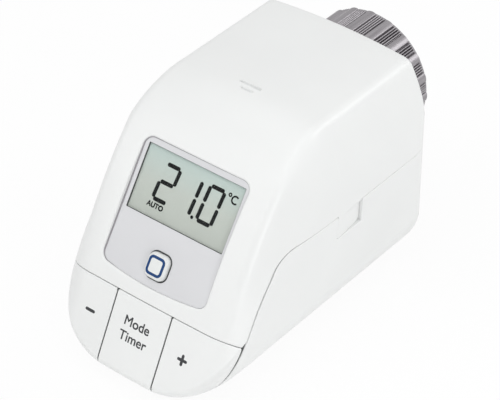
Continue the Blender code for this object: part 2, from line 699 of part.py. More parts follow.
# Valve end: collar, retaining ring and free-turning union nut
LIP_Y = REAR_Y + FIT + 0.1
TUBE_END_Y = LIP_Y + NUT_LIP_T + FIT * 0.5
RING_Y = TUBE_END_Y + FIT
SPIGOT_R = COLLAR_R - SPIGOT_STEP
collar = drum_y("valve_collar", 0, AXIS_Z, [(FLANGE_R, FLANGE_Y), (FLANGE_R, FLANGE_Y + FLANGE_T),
                                            (COLLAR_R, FLANGE_Y + FLANGE_T), (COLLAR_R, TUBE_END_Y),
                                            (SPIGOT_R, TUBE_END_Y), (SPIGOT_R, SEAT_Y - SLACK)], 40, ACETAL)
keeper_r, keeper_bore = NUT_BORE_R - FIT, SPIGOT_R + FIT
keeper = drum_y("retaining_ring", 0, AXIS_Z, [(keeper_r, RING_Y), (keeper_r, SEAT_Y)], 40, STEEL)
cut(keeper, drum_y("keeper_bore", 0, AXIS_Z, [(keeper_bore, RING_Y - 5), (keeper_bore, SEAT_Y + 5)], 40))


def nut_outline():
    points = []
    step = 2 * math.pi / NUT_LOBES
    start = math.radians(90 - 9.0)
    for lobe in range(NUT_LOBES):
        mid = start + lobe * step
        for f, r in ((-0.27, NUT_RIB_R), (-0.2, NUT_TIP_R), (0.0, NUT_TIP_R), (0.2, NUT_TIP_R)):
            points.append((mid + f * step, r))
        points.append((mid + 0.27 * step, NUT_GROOVE_R))
        span = 0.46 / NUT_RIBS
        for rib in range(NUT_RIBS):
            a = 0.27 + span * rib
            points.append((mid + (a + 0.45 * span) * step, NUT_RIB_R))
            if rib < NUT_RIBS - 1:
                points.append((mid + (a + span) * step, NUT_GROOVE_R))
    return [(r * math.cos(a), AXIS_Z + r * math.sin(a)) for a, r in points]


nut = prism_y("union_nut", nut_outline(), LIP_Y, NUT_END_Y, NUTGREY)
lip_r = COLLAR_R + FIT
lip_end = LIP_Y + NUT_LIP_T
cut(nut, drum_y("nut_bore", 0, AXIS_Z, [(lip_r, LIP_Y - 3), (lip_r, lip_end), (NUT_BORE_R, lip_end),
                                        (NUT_BORE_R, NUT_END_Y - 1.0), (NUT_BORE_R + 0.9, NUT_END_Y),
                                        (NUT_BORE_R + 0.9, NUT_END_Y + 3)], 40))
place(nut, (0, NUT_END_Y, AXIS_Z))


# Gears: trapezium teeth with backlash, drawn in the plane across +Y
def gear_outline(teeth, cx, cz, toward):
    pitch_r = teeth * GEAR_M / 2
    tip_r, root_r = pitch_r + 0.85 * GEAR_M, pitch_r - 1.15 * GEAR_M
    step = 2 * math.pi / teeth
    points = []

    def half(r):
        return 0.19 * step + (pitch_r - r) * math.tan(math.radians(20)) / r

    for k in range(teeth):
        mid = toward + k * step
        low, high = half(root_r), half(tip_r)
        for r, a in ((root_r, -low), (tip_r, -high), (tip_r, high), (root_r, low)):
            points.append((cx + r * math.cos(mid + a), cz + r * math.sin(mid + a)))
    return points


reach_a = (SPINDLE_TEETH + IDLER_SMALL_TEETH) * GEAR_M / 2 + MESH_SLACK
reach_b = (IDLER_BIG_TEETH + PINION_TEETH) * GEAR_M / 2 + MESH_SLACK
rise = MOTOR_Z - AXIS_Z
idler_dz = (reach_a ** 2 - reach_b ** 2 + rise ** 2) / (2 * rise)
IDLER_X = math.sqrt(reach_a ** 2 - idler_dz ** 2)
IDLER_Z = AXIS_Z + idler_dz
to_idler = math.atan2(IDLER_Z - AXIS_Z, IDLER_X)
to_motor = math.atan2(MOTOR_Z - IDLER_Z, -IDLER_X)

GEAR_BACK = FLANGE_Y - FIT
PLATE_BACK = PLATE_Y + PLATE_T
HUB_FRONT = PLATE_BACK + FIT
TRAIN_Y = PLATE_BACK + 2.0
TRAIN_W = 3.0
SPIN_Y = TRAIN_Y + TRAIN_W + 1.1
SPIN_W = 4.0
HUB_R = 4.8
spindle = prism_y("spindle_gear", gear_outline(SPINDLE_TEETH, 0, AXIS_Z, to_idler), SPIN_Y,
                  SPIN_Y + SPIN_W, GEARWHITE)
weld(spindle, drum_y("spindle_hub", 0, AXIS_Z, [(HUB_R, HUB_FRONT), (HUB_R, GEAR_BACK)], 24))
cut(spindle, drum_y("spindle_bore", 0, AXIS_Z, [(PUSHER_R + FIT, 0), (PUSHER_R + FIT, 60)], 20))
place(spindle, (0, SPIN_Y, AXIS_Z))

gap_phase = to_idler + math.pi + math.pi / IDLER_SMALL_TEETH
idler = prism_y("idler_gear", gear_outline(IDLER_SMALL_TEETH, IDLER_X, IDLER_Z, gap_phase),
                TRAIN_Y + 0.5, GEAR_BACK - 1.0, GEARWHITE)
weld(idler, prism_y("idler_big", gear_outline(IDLER_BIG_TEETH, IDLER_X, IDLER_Z, to_motor),
                    TRAIN_Y, TRAIN_Y + TRAIN_W))
weld(idler, drum_y("idler_hub", IDLER_X, IDLER_Z, [(2.2, HUB_FRONT), (2.2, GEAR_BACK)], 16))
cut(idler, drum_y("idler_bore", IDLER_X, IDLER_Z, [(AXLE_R + FIT, 0), (AXLE_R + FIT, 60)], 12))
place(idler, (IDLER_X, TRAIN_Y, IDLER_Z))
axle_hole = drum_y("axle_hole", IDLER_X, IDLER_Z, [(AXLE_R + FIT, 0), (AXLE_R + FIT, 60)], 12)
axle_end = FLANGE_Y + FLANGE_T - 0.2
drum_y("idler_axle", IDLER_X, IDLER_Z, [(AXLE_R, PLATE_Y + 0.2), (AXLE_R, axle_end)], 12, STEEL)

pinion_phase = to_motor + math.pi + math.pi / PINION_TEETH
pinion = prism_y("motor_pinion", gear_outline(PINION_TEETH, 0, MOTOR_Z, pinion_phase), TRAIN_Y - 0.4,
                 TRAIN_Y + TRAIN_W + 0.3, BRASS)
nose_y = PLATE_Y - FIT
weld(pinion, drum_y("pinion_shaft", 0, MOTOR_Z, [(AXLE_R, nose_y + 0.2), (AXLE_R, TRAIN_Y + 1.0)], 12))
place(pinion, (0, TRAIN_Y, MOTOR_Z))

motor_back = nose_y - NOSE_LENGTH
motor_front = motor_back - MOTOR_LENGTH
drum_y("motor", 0, MOTOR_Z, [
    (MOTOR_R - MOTOR_EDGE, motor_front), (MOTOR_R, motor_front + MOTOR_EDGE),
    (MOTOR_R, motor_back - MOTOR_EDGE), (MOTOR_R - MOTOR_EDGE, motor_back),
    (NOSE_R, motor_back), (NOSE_R, nose_y),
], 28, TIN)
cap_back = motor_front - FIT
cap_front = cap_back - CAP_T
drum_y("motor_cap", 0, MOTOR_Z, [
    (CAP_HUB_R, cap_front - CAP_HUB), (CAP_HUB_R, cap_front), (MOTOR_R - CAP_STEP, cap_front),
    (MOTOR_R - CAP_STEP, cap_back),
], 24, SWITCH)

# Pusher: round rod in the spindle, square head guided by the collar
rod_front = PLATE_Y - 1.5
head_y = FLANGE_Y + 0.6
head_end = SEAT_Y - 0.8
half_head = PUSHER_HEAD / 2
head = rect(-half_head, half_head, AXIS_Z - half_head, AXIS_Z + half_head)
pusher = prism_y("pusher", head, head_y, head_end, STEEL)
weld(pusher, drum_y("pusher_rod", 0, AXIS_Z, [(PUSHER_R, rod_front), (PUSHER_R, head_y + 2)], 20))
guide = half_head + FIT
cut(collar, box("guide_bore", -guide, guide, 20.0, 60.0, AXIS_Z - guide, AXIS_Z + guide), axle_hole)
FOOT_REACH = 20.75
foot_low = AXIS_Z - FOOT_REACH
foot_half = 11.0
weld(collar, box("collar_foot", -foot_half, foot_half, FLANGE_Y + 0.1, FLANGE_Y + FLANGE_T - 0.1,
                 foot_low, AXIS_Z - 14.0))

CHASSIS_INSET = 10.1
PLATE_SIDE = 2.4

# Gear plate with two spacer posts, screwed through the collar flange
DECK_TOP = 2 * CELL_R + WALL + FIT * 2 + 2.5 + DECK_T + 0.6
plate_half = HALF_WIDTH - CHASSIS_INSET - PLATE_SIDE
plate = box("gear_plate", -plate_half, plate_half, PLATE_Y, PLATE_BACK, DECK_TOP + FIT, ROOF_Z - 5.5, FRAME)
cut(plate, drum_y("shaft_hole", 0, MOTOR_Z, [(AXLE_R + 0.5, 0), (AXLE_R + 0.5, 60)], 12), axle_hole)
cut(plate, drum_y("rod_hole", 0, AXIS_Z, [(PUSHER_R + 0.4, 0), (PUSHER_R + 0.4, 60)], 20))
tip_r = SPINDLE_TEETH * GEAR_M / 2 + 0.85 * GEAR_M
post_r = 2.1
post_reach = tip_r + post_r + 0.6
for word, a in (("left", math.radians(172)), ("right", -math.pi / 4)):
    px, pz = post_reach * math.cos(a), AXIS_Z + post_reach * math.sin(a)
    weld(plate, drum_y(f"spacer_{word}", px, pz, [(post_r, PLATE_Y + 0.5), (post_r, GEAR_BACK)], 14))
    cut(plate, drum_y(f"spacer_hole_{word}", px, pz, [(1.3, GEAR_BACK - 7.0), (1.3, GEAR_BACK + 5)], 10))
    sunk = FLANGE_Y + 0.9
    cut(collar, drum_y(f"flange_hole_{word}", px, pz, [(1.3, 20), (1.3, sunk), (2.2, sunk), (2.2, 60)], 12))
    drum_y(f"gear_screw_{word}", px, pz, [
        (1.0, GEAR_BACK - 6.5), (1.0, sunk + 0.2), (1.9, sunk + 0.2), (1.9, FLANGE_Y + FLANGE_T - 0.1),
    ], 10, STEEL)

# Chassis: deck over the cells, end walls, saddles, side walls and screw ears
CELL_Z = WALL + FIT * 2 + CELL_R
chassis_half = HALF_WIDTH - CHASSIS_INSET


def wall_outline(top):
    right = []
    for k in range(6):
        z = WALL + 1.0 + k * 1.3
        room = BOTTOM_R - WALL - SLACK
        right.append((min(BOTTOM_FLAT + math.sqrt(room ** 2 - (BOTTOM_R - z) ** 2), chassis_half), z))
    right.append((chassis_half, top))
    return right + [(-x, z) for x, z in right[::-1]]


STOP_DROP = 14.75
STOP_TOP = AXIS_Z - STOP_DROP
chassis = box("chassis", -chassis_half, chassis_half, BAY_FRONT_Y - BULK_T, BAY_REAR_Y + BULK_T,
              DECK_TOP - DECK_T, DECK_TOP, FRAME)
weld(chassis, prism_y("rear_wall", wall_outline(DECK_TOP - 0.5), BAY_REAR_Y, BAY_REAR_Y + BULK_T - 0.1))
weld(chassis, prism_y("front_wall", wall_outline(DECK_TOP - 0.5), BAY_FRONT_Y - BULK_T + 0.1, BAY_FRONT_Y))
weld(chassis, box("rear_stop", -foot_half - 0.5, foot_half + 0.5, BAY_REAR_Y + 0.2, BAY_REAR_Y + BULK_T - 0.2,
                  DECK_TOP - 0.7, STOP_TOP))
for side, word in ((-1, "left"), (1, "right")):
    xa, xb = sorted((side * (chassis_half - 1.8), side * (chassis_half - 0.2)))
    weld(chassis, box(f"side_wall_{word}", xa, xb, BOSS_Y[1] - BOSS_HALF_Y, BAY_REAR_Y + BULK_T - 0.3,
                      DECK_TOP - 0.9, EAR_TOP - 0.2))
    for y, where in zip(BOSS_Y, ("rear", "front")):
        ea, eb = sorted((side * (chassis_half - 1.7), side * (HALF_WIDTH - WALL - 1.2)))
        weld(chassis, box(f"ear_{word}_{where}", ea, eb, y - BOSS_HALF_Y + 0.1, y + BOSS_HALF_Y - 0.1,
                          EAR_TOP - EAR_T, EAR_TOP))
        cut(chassis, lathe(f"ear_hole_{word}_{where}", [(SCREW_HOLE_R, -9.0), (SCREW_HOLE_R, 9.0)],
                           (side * BOSS_X, y, EAR_TOP), (0, 0, 1), 12))
        lathe(f"chassis_screw_{word}_{where}",
              [(SCREW_HEAD_R, -EAR_T - FIT - 1.6), (SCREW_HEAD_R, -EAR_T - FIT), (SCREW_R, -EAR_T - FIT),
               (SCREW_R, SCREW_REACH)], (side * BOSS_X, y, EAR_TOP), (0, 0, 1), 10, STEEL)
for y, where in ((14.0, "rear"), (-14.0, "front")):
    weld(chassis, box(f"saddle_{where}", -CELL_X - 6.5, CELL_X + 6.5, y - 1.2, y + 1.2, CELL_Z + 3.0,
                      DECK_TOP - 0.8))
for side, word in ((-1, "left"), (1, "right")):
    cut(chassis, drum_y(f"cell_room_{word}", side * CELL_X, CELL_Z, [(CELL_R + FIT, BAY_FRONT_Y + 0.1),
                                                                     (CELL_R + FIT, BAY_REAR_Y - 0.1)], 24))

# Cells, contacts and coil springs
rear_contact = BAY_REAR_Y - FIT - CONTACT_T
front_contact = BAY_FRONT_Y + FIT + CONTACT_T
for side, word in ((-1, "left"), (1, "right")):
    tip_y = rear_contact - FIT if side < 0 else front_contact + FIT
    profile = [(CELL_R - 0.4, CELL_LENGTH), (CELL_R, CELL_LENGTH - 0.5), (CELL_R, CELL_NUB + 0.5),
               (CELL_R - 0.5, CELL_NUB), (CELL_NUB_R, CELL_NUB), (CELL_NUB_R, 0.0)]
    lathe(f"cell_{word}", profile, (side * CELL_X, tip_y, CELL_Z), (0, side, 0), 24, CELLWRAP)
contact_out, contact_in = CELL_X + CONTACT_HALF_X, CELL_X - CONTACT_HALF_X
contact_z = (CELL_Z - CONTACT_HALF_Z, CELL_Z + CONTACT_HALF_Z)
box("contact_bridge", -contact_out, contact_out, rear_contact, rear_contact + CONTACT_T, *contact_z, NICKEL)
box("contact_minus", -contact_out, -contact_in, front_contact - CONTACT_T, front_contact, *contact_z, NICKEL)
box("contact_plus", contact_in, contact_out, front_contact - CONTACT_T, front_contact, *contact_z, NICKEL)

SPRING_TURNS = 2.5
PER_TURN = 10


def coil(name, cx, contact, way):
    near = contact + way * (FIT + WIRE_R)
    far = contact + way * (SPRING_SPACE - FIT - WIRE_R)
    count = int(SPRING_TURNS * PER_TURN)
    path = []
    for i in range(count + 1):
        f = i / count
        a = 2 * math.pi * SPRING_TURNS * f
        r = SPRING_R - SPRING_TAPER * f
        path.append(np.array([cx + r * math.cos(a), near + (far - near) * f, CELL_Z + r * math.sin(a)]))
    rings = []
    for i, p in enumerate(path):
        along = path[min(i + 1, count)] - path[max(i - 1, 0)]
        along /= np.linalg.norm(along)
        out = p - np.array([cx, p[1], CELL_Z])
        out -= along * (out @ along)
        out /= np.linalg.norm(out)
        up = np.cross(along, out)
        turns = [k * math.pi / 3 for k in range(6)]
        rings.append([p + WIRE_R * (math.cos(t) * out + math.sin(t) * up) for t in turns])
    loft(name, rings, NICKEL)
    least = min(
        np.linalg.norm(path[i] - path[j]) - 2 * WIRE_R
        for i in range(count + 1) for j in range(i + PER_TURN // 2, count + 1)
    )
    print(f"{name}: least gap between turns {least:.2f} mm")


coil("spring_front", -CELL_X, front_contact, 1)
coil("spring_rear", CELL_X, rear_contact, -1)
print("key hinge axis", np.round(KEY_PIN, 3), "idler axis", round(IDLER_X, 3), round(IDLER_Z, 3))
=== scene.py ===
import json
import math

import bmesh
import bpy
import numpy as np
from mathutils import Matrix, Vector, geometry
from mathutils.bvhtree import BVHTree

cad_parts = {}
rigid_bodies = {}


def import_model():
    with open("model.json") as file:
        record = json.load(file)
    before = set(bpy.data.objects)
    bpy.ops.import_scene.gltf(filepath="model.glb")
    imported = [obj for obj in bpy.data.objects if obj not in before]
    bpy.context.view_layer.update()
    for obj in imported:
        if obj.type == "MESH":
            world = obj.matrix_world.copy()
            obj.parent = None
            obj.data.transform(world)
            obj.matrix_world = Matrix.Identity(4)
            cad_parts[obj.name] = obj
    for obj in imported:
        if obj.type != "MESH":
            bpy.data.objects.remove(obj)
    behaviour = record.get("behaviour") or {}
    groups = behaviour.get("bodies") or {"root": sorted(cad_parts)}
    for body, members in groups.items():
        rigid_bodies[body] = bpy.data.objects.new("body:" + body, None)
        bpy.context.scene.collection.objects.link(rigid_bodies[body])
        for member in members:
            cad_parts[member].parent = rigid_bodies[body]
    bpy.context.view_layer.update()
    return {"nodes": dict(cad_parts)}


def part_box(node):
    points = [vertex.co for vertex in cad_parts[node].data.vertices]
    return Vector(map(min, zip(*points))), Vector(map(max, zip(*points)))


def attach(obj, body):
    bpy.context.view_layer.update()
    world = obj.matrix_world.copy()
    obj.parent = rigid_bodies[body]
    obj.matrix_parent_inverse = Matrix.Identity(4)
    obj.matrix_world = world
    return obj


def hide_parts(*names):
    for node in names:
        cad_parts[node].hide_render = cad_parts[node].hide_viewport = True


for old in list(bpy.data.objects):
    bpy.data.objects.remove(old, do_unlink=True)
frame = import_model()
mm = 0.001
print("frame loaded:", len(frame["nodes"]), "nodes")


# Small mesh tools, all in millimetres
def meshPiece(name, points, faces, material, body, stands=(), sharp=50):
    mesh = bpy.data.meshes.new(name)
    mesh.from_pydata([tuple(p) for p in np.asarray(points, float) * mm], [], [tuple(f) for f in faces])
    mesh.validate()
    mesh.materials.append(material)
    mesh.shade_smooth()
    mesh.set_sharp_from_angle(angle=math.radians(sharp))
    piece = bpy.data.objects.new(name, mesh)
    bpy.context.scene.collection.objects.link(piece)
    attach(piece, body)
    if stands:
        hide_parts(*stands)
    return piece


def bendArc(cy, cz, r, a0, a1, count):
    turn = [a0 + (a1 - a0) * i / count for i in range(count + 1)]
    return [(cy + r * math.cos(a), cz + r * math.sin(a)) for a in turn]


def between(a, b, shares):
    return [(a[0] + (b[0] - a[0]) * s, a[1] + (b[1] - a[1]) * s) for s in shares]


def evenShares(count):
    return [i / count for i in range(1, count)]


# quads between rows of points, each row a closed ring
def ringFaces(start, rows, count):
    faces = []
    for low in range(start, start + (rows - 1) * count, count):
        for k in range(count):
            m = (k + 1) % count
            faces.append((low + k, low + m, low + count + m, low + count + k))
    return faces


# open rims are filled and every face is turned outwards
def closeMesh(points, faces, rimGroups=()):
    build = bmesh.new()
    made = [build.verts.new(p) for p in points]
    for face in faces:
        build.faces.new([made[i] for i in face])
    for groups in rimGroups:
        rims = []
        for group in groups:
            for i, j in zip(group, group[1:] + group[:1]):
                pair = (made[i], made[j])
                rims.append(build.edges.get(pair) or build.edges.new(pair))
        bmesh.ops.triangle_fill(build, use_beauty=True, edges=rims)
    bmesh.ops.recalc_face_normals(build, faces=build.faces)
    build.verts.index_update()
    cells = [[v.index for v in f.verts] for f in build.faces]
    build.free()
    return cells


# Node materials
def newLook(name):
    look = bpy.data.materials.new(name)
    look.use_nodes = True
    tree = look.node_tree
    return look, tree, tree.nodes["Principled BSDF"]


def objectSpot(tree):
    spot = tree.nodes.get("objectSpot") or tree.nodes.new("ShaderNodeTexCoord")
    spot.name = "objectSpot"
    return spot.outputs["Object"]


def addNoise(tree, scale, detail):
    noise = tree.nodes.new("ShaderNodeTexNoise")
    noise.inputs["Scale"].default_value = scale
    noise.inputs["Detail"].default_value = detail
    tree.links.new(objectSpot(tree), noise.inputs["Vector"])
    return noise


def spread(tree, source, low, high, target):
    step = tree.nodes.new("ShaderNodeMapRange")
    step.inputs["From Min"].default_value = 0.25
    step.inputs["From Max"].default_value = 0.75
    step.inputs["To Min"].default_value = low
    step.inputs["To Max"].default_value = high
    tree.links.new(source, step.inputs["Value"])
    tree.links.new(step.outputs["Result"], target)


def shadeBetween(tree, source, dark, light, target):
    ramp = tree.nodes.new("ShaderNodeValToRGB")
    ramp.color_ramp.elements[0].position = 0.3
    ramp.color_ramp.elements[1].position = 0.7
    ramp.color_ramp.elements[0].color = (*dark, 1.0)
    ramp.color_ramp.elements[1].color = (*light, 1.0)
    tree.links.new(source, ramp.inputs["Fac"])
    tree.links.new(ramp.outputs["Color"], target)


def shadeAround(tree, source, colour, vary, target):
    dark = [max(c - vary, 0.0) for c in colour]
    light = [min(c + vary, 1.0) for c in colour]
    shadeBetween(tree, source, dark, light, target)


# colours along one axis of the piece, from low to high
def shadeAlong(tree, axis, low, high, ends, target, middle=None):
    split = tree.nodes.new("ShaderNodeSeparateXYZ")
    tree.links.new(objectSpot(tree), split.inputs[0])
    step = tree.nodes.new("ShaderNodeMapRange")
    step.inputs["From Min"].default_value = low * mm
    step.inputs["From Max"].default_value = high * mm
    tree.links.new(split.outputs[axis], step.inputs["Value"])
    ramp = tree.nodes.new("ShaderNodeValToRGB")
    ramp.color_ramp.elements[0].color = (*ends[0], 1.0)
    ramp.color_ramp.elements[1].color = (*ends[1], 1.0)
    if middle:
        share, colour = middle
        ramp.color_ramp.elements.new(share).color = (*colour, 1.0)
    tree.links.new(step.outputs["Result"], ramp.inputs["Fac"])
    tree.links.new(ramp.outputs["Color"], target)


def addBump(tree, shader, height, distance, strength):
    bump = tree.nodes.new("ShaderNodeBump")
    bump.inputs["Distance"].default_value = distance
    bump.inputs["Strength"].default_value = strength
    tree.links.new(height, bump.inputs["Height"])
    tree.links.new(bump.outputs["Normal"], shader.inputs["Normal"])


def mouldedLook(name, colour, rough, grain=2600.0, bump=0.25, vary=0.012, gloss=0.5):
    look, tree, shader = newLook(name)
    cloud = addNoise(tree, 38.0, 4.0)
    shadeAround(tree, cloud.outputs["Fac"], colour, vary, shader.inputs["Base Color"])
    fine = addNoise(tree, grain, 2.0)
    spread(tree, fine.outputs["Fac"], rough - 0.05, rough + 0.06, shader.inputs["Roughness"])
    addBump(tree, shader, fine.outputs["Fac"], 0.00004, bump)
    shader.inputs["Specular IOR Level"].default_value = gloss
    return look


def metalLook(name, colour, rough, streak=(900.0, 60.0, 900.0), vary=0.05, bump=0.15):
    look, tree, shader = newLook(name)
    stretch = tree.nodes.new("ShaderNodeMapping")
    stretch.inputs["Scale"].default_value = streak
    tree.links.new(objectSpot(tree), stretch.inputs["Vector"])
    fine = tree.nodes.new("ShaderNodeTexNoise")
    fine.inputs["Scale"].default_value = 1.0
    fine.inputs["Detail"].default_value = 3.0
    tree.links.new(stretch.outputs["Vector"], fine.inputs["Vector"])
    shadeAround(tree, fine.outputs["Fac"], colour, vary, shader.inputs["Base Color"])
    spread(tree, fine.outputs["Fac"], rough - 0.05, rough + 0.08, shader.inputs["Roughness"])
    addBump(tree, shader, fine.outputs["Fac"], 0.00003, bump)
    shader.inputs["Metallic"].default_value = 1.0
    return look


def inkLook(name, colour, rough=0.55):
    look, tree, shader = newLook(name)
    grain = addNoise(tree, 3200.0, 2.0)
    dark = [c * 0.9 for c in colour]
    light = [min(c * 1.1, 1.0) for c in colour]
    shadeBetween(tree, grain.outputs["Fac"], dark, light, shader.inputs["Base Color"])
    spread(tree, grain.outputs["Fac"], rough - 0.06, rough + 0.06, shader.inputs["Roughness"])
    shader.inputs["Specular IOR Level"].default_value = 0.12
    return look


def lcdLook(name, top, middle, low, zLow, zTop):
    look, tree, shader = newLook(name)
    # colour changes from low to top: a painted reflection over the LCD's own green
    shadeAlong(tree, "Z", zLow, zTop, (low, top), shader.inputs["Base Color"], (0.45, middle))
    grain = addNoise(tree, 4200.0, 2.0)
    spread(tree, grain.outputs["Fac"], 0.32, 0.42, shader.inputs["Roughness"])
    shader.inputs["Specular IOR Level"].default_value = 0.3
    return look


def windowLook(name, colour, seeThrough):
    look, tree, shader = newLook(name)
    haze = addNoise(tree, 140.0, 3.0)
    spread(tree, haze.outputs["Fac"], 0.05, 0.12, shader.inputs["Roughness"])
    shadeBetween(tree, haze.outputs["Fac"], [c * 0.9 for c in colour], colour, shader.inputs["Base Color"])
    shader.inputs["Alpha"].default_value = 1.0 - seeThrough
    shader.inputs["Specular IOR Level"].default_value = 0.2
    return look


def cellLook(name, wrap, band, bandY):
    look, tree, shader = newLook(name)
    shadeAlong(tree, "Y", bandY - 0.2, bandY + 0.2, (wrap, band), shader.inputs["Base Color"])
    scuff = addNoise(tree, 700.0, 4.0)
    spread(tree, scuff.outputs["Fac"], 0.22, 0.36, shader.inputs["Roughness"])
    addBump(tree, shader, scuff.outputs["Fac"], 0.00002, 0.2)
    return look


whiteShell = mouldedLook("whiteShell", (0.80, 0.81, 0.805), 0.36)
buttonWhite = mouldedLook("buttonWhite", (0.74, 0.755, 0.75), 0.38, grain=3400.0)
panelGrey = mouldedLook("panelGrey", (0.645, 0.648, 0.665), 0.42, grain=3400.0, bump=0.15, vary=0.01)
# dark rubber for the contact strip, also laid in the LCD recess and in the gaps round the button and keys as
# painted shade
darkRubberAndPaintedShade = mouldedLook("darkRubberAndPaintedShade", (0.045, 0.05, 0.05), 0.7)
# LCD green, lighter and bluer towards the top as a painted reflection
lcdGreenPaintedReflection = lcdLook("lcdGreenPaintedReflection", (0.56, 0.68, 0.645), (0.575, 0.62, 0.57), (0.55, 0.59, 0.54), 39.2, 53.2)
# dark grey of the panel collar: painted shade of the window's left wall
collarPaintedShade = mouldedLook("collarPaintedShade", (0.34, 0.33, 0.35), 0.5, grain=3400.0, bump=0.15, vary=0.01)
clearWindow = windowLook("clearWindow", (0.05, 0.06, 0.06), 0.96)
legendInk = inkLook("legendInk", (0.06, 0.062, 0.066))
segmentInk = inkLook("segmentInk", (0.007, 0.008, 0.008), 0.5)
ringBlue = mouldedLook("ringBlue", (0.007, 0.048, 0.165), 0.4, grain=900.0, bump=0.1, vary=0.004, gloss=0.25)
nutSatin = metalLook("nutSatin", (0.34, 0.325, 0.34), 0.42)
print("looks made")

# Body skin, the same lines as the solid but finer
keySplitX = 8.76
bodyShape = {
    "halfWidth": 29.1, "roofZ": 65.0, "rearY": 35.4, "wall": 2.0,
    "roofCrown": 200.0, "faceCrown": 500.0, "sideArc": 49.4,
    # drop to the widest line, then the round of the edge
    "roofSide": (26.5, 3.0), "faceSide": (22.5, 3.0), "chinSide": (11.8, 11.3),
    "bottomRound": 20.7, "bottomFlat": 7.4, "roofBend": 26.0,
    "chinRound": 2.0, "keelRound": 13.2, "rearRound": 3.0, "rearLip": 1.2,
    "faceTilt": math.radians(34.25), "faceArc": 150.0, "keyLine": (-42.304, 23.151),
    "panelHalfV": 16.75, "keyLineV": -21.4, "keyFlatV": -18.0, "chinBlend": 12.0,
    "lipShare": 0.3, "leastBend": 0.4, "shrinkFrom": 1.0, "shrinkOver": 12.0,
}
tilt = bodyShape["faceTilt"]
faceOut = np.array([0.0, -math.cos(tilt), math.sin(tilt)])
faceUp = np.array([0.0, math.sin(tilt), math.cos(tilt)])
faceMid = np.array([0.0, *bodyShape["keyLine"]]) - bodyShape["keyLineV"] * faceUp
faceSag = bodyShape["panelHalfV"] ** 2 / (2 * bodyShape["faceArc"])
arcY, arcZ = (faceMid + (faceSag - bodyShape["faceArc"]) * faceOut)[1:]


def facePoint(x, v, d):
    return np.array([x, 0.0, 0.0]) + faceMid + v * faceUp + d * faceOut


def skinDrop(x, crown, sideEdge):
    shape = bodyShape
    sideDrop, edge = sideEdge
    side = shape["sideArc"]
    sideX = shape["halfWidth"] - side
    big, small = crown - edge, side - edge
    gap = math.hypot(sideX, crown - sideDrop)
    along = (big ** 2 - small ** 2 + gap ** 2) / (2 * gap)
    high = math.sqrt(big ** 2 - along ** 2)
    ux, ut = sideX / gap, (sideDrop - crown) / gap
    fx, ft = along * ux - high * ut, crown + along * ut + high * ux
    if x <= fx * crown / big:
        return crown - math.sqrt(crown ** 2 - x * x)
    if x <= sideX + (fx - sideX) * side / small:
        return ft - math.sqrt(max(edge ** 2 - (x - fx) ** 2, 0.0))
    return sideDrop - math.sqrt(side ** 2 - (x - sideX) ** 2)


def skinKeel(x):
    shape = bodyShape
    r, flat = shape["bottomRound"], shape["bottomFlat"]
    if x <= flat:
        return 0.0
    if x < flat + r:
        return r - math.sqrt(r * r - (x - flat) ** 2)
    lean = shape["halfWidth"] - flat - r
    return r + (x - flat - r) / lean * (shape["roofZ"] - shape["roofSide"][0] - r)


sidePatch = {"fromX": 27.6, "grid": 0.4, "levels": 22, "smooth": 60}
# rows crowd where the slots and the edges of the latch tabs fall
tabRows = [*np.linspace(31.9, 9.6, 12), *np.linspace(9.0, 6.0, 16)]
skinRows = {
    "roofY": [*tabRows, *np.linspace(5.4, 0.2, 7)],
    "bend": [*np.linspace(0.0, 0.2, 26), *np.linspace(0.25, 1.0, 16)],
    "face": 120, "floor": 14, "rear": 30,
    "floorY": [*np.linspace(-4.2, -0.8, 18), *np.linspace(0.0, 5.4, 7), *tabRows[::-1]],
}
# start, step, first and end count of the rings, closest where the keys part
ringRuns = (
    (0.0, 0.35, 0, 13), (4.2, 0.9, 1, 10), (12.3, 0.45, 1, 15), (18.6, 0.3, 1, 28), (keySplitX, 0.1, -8, 9),
)


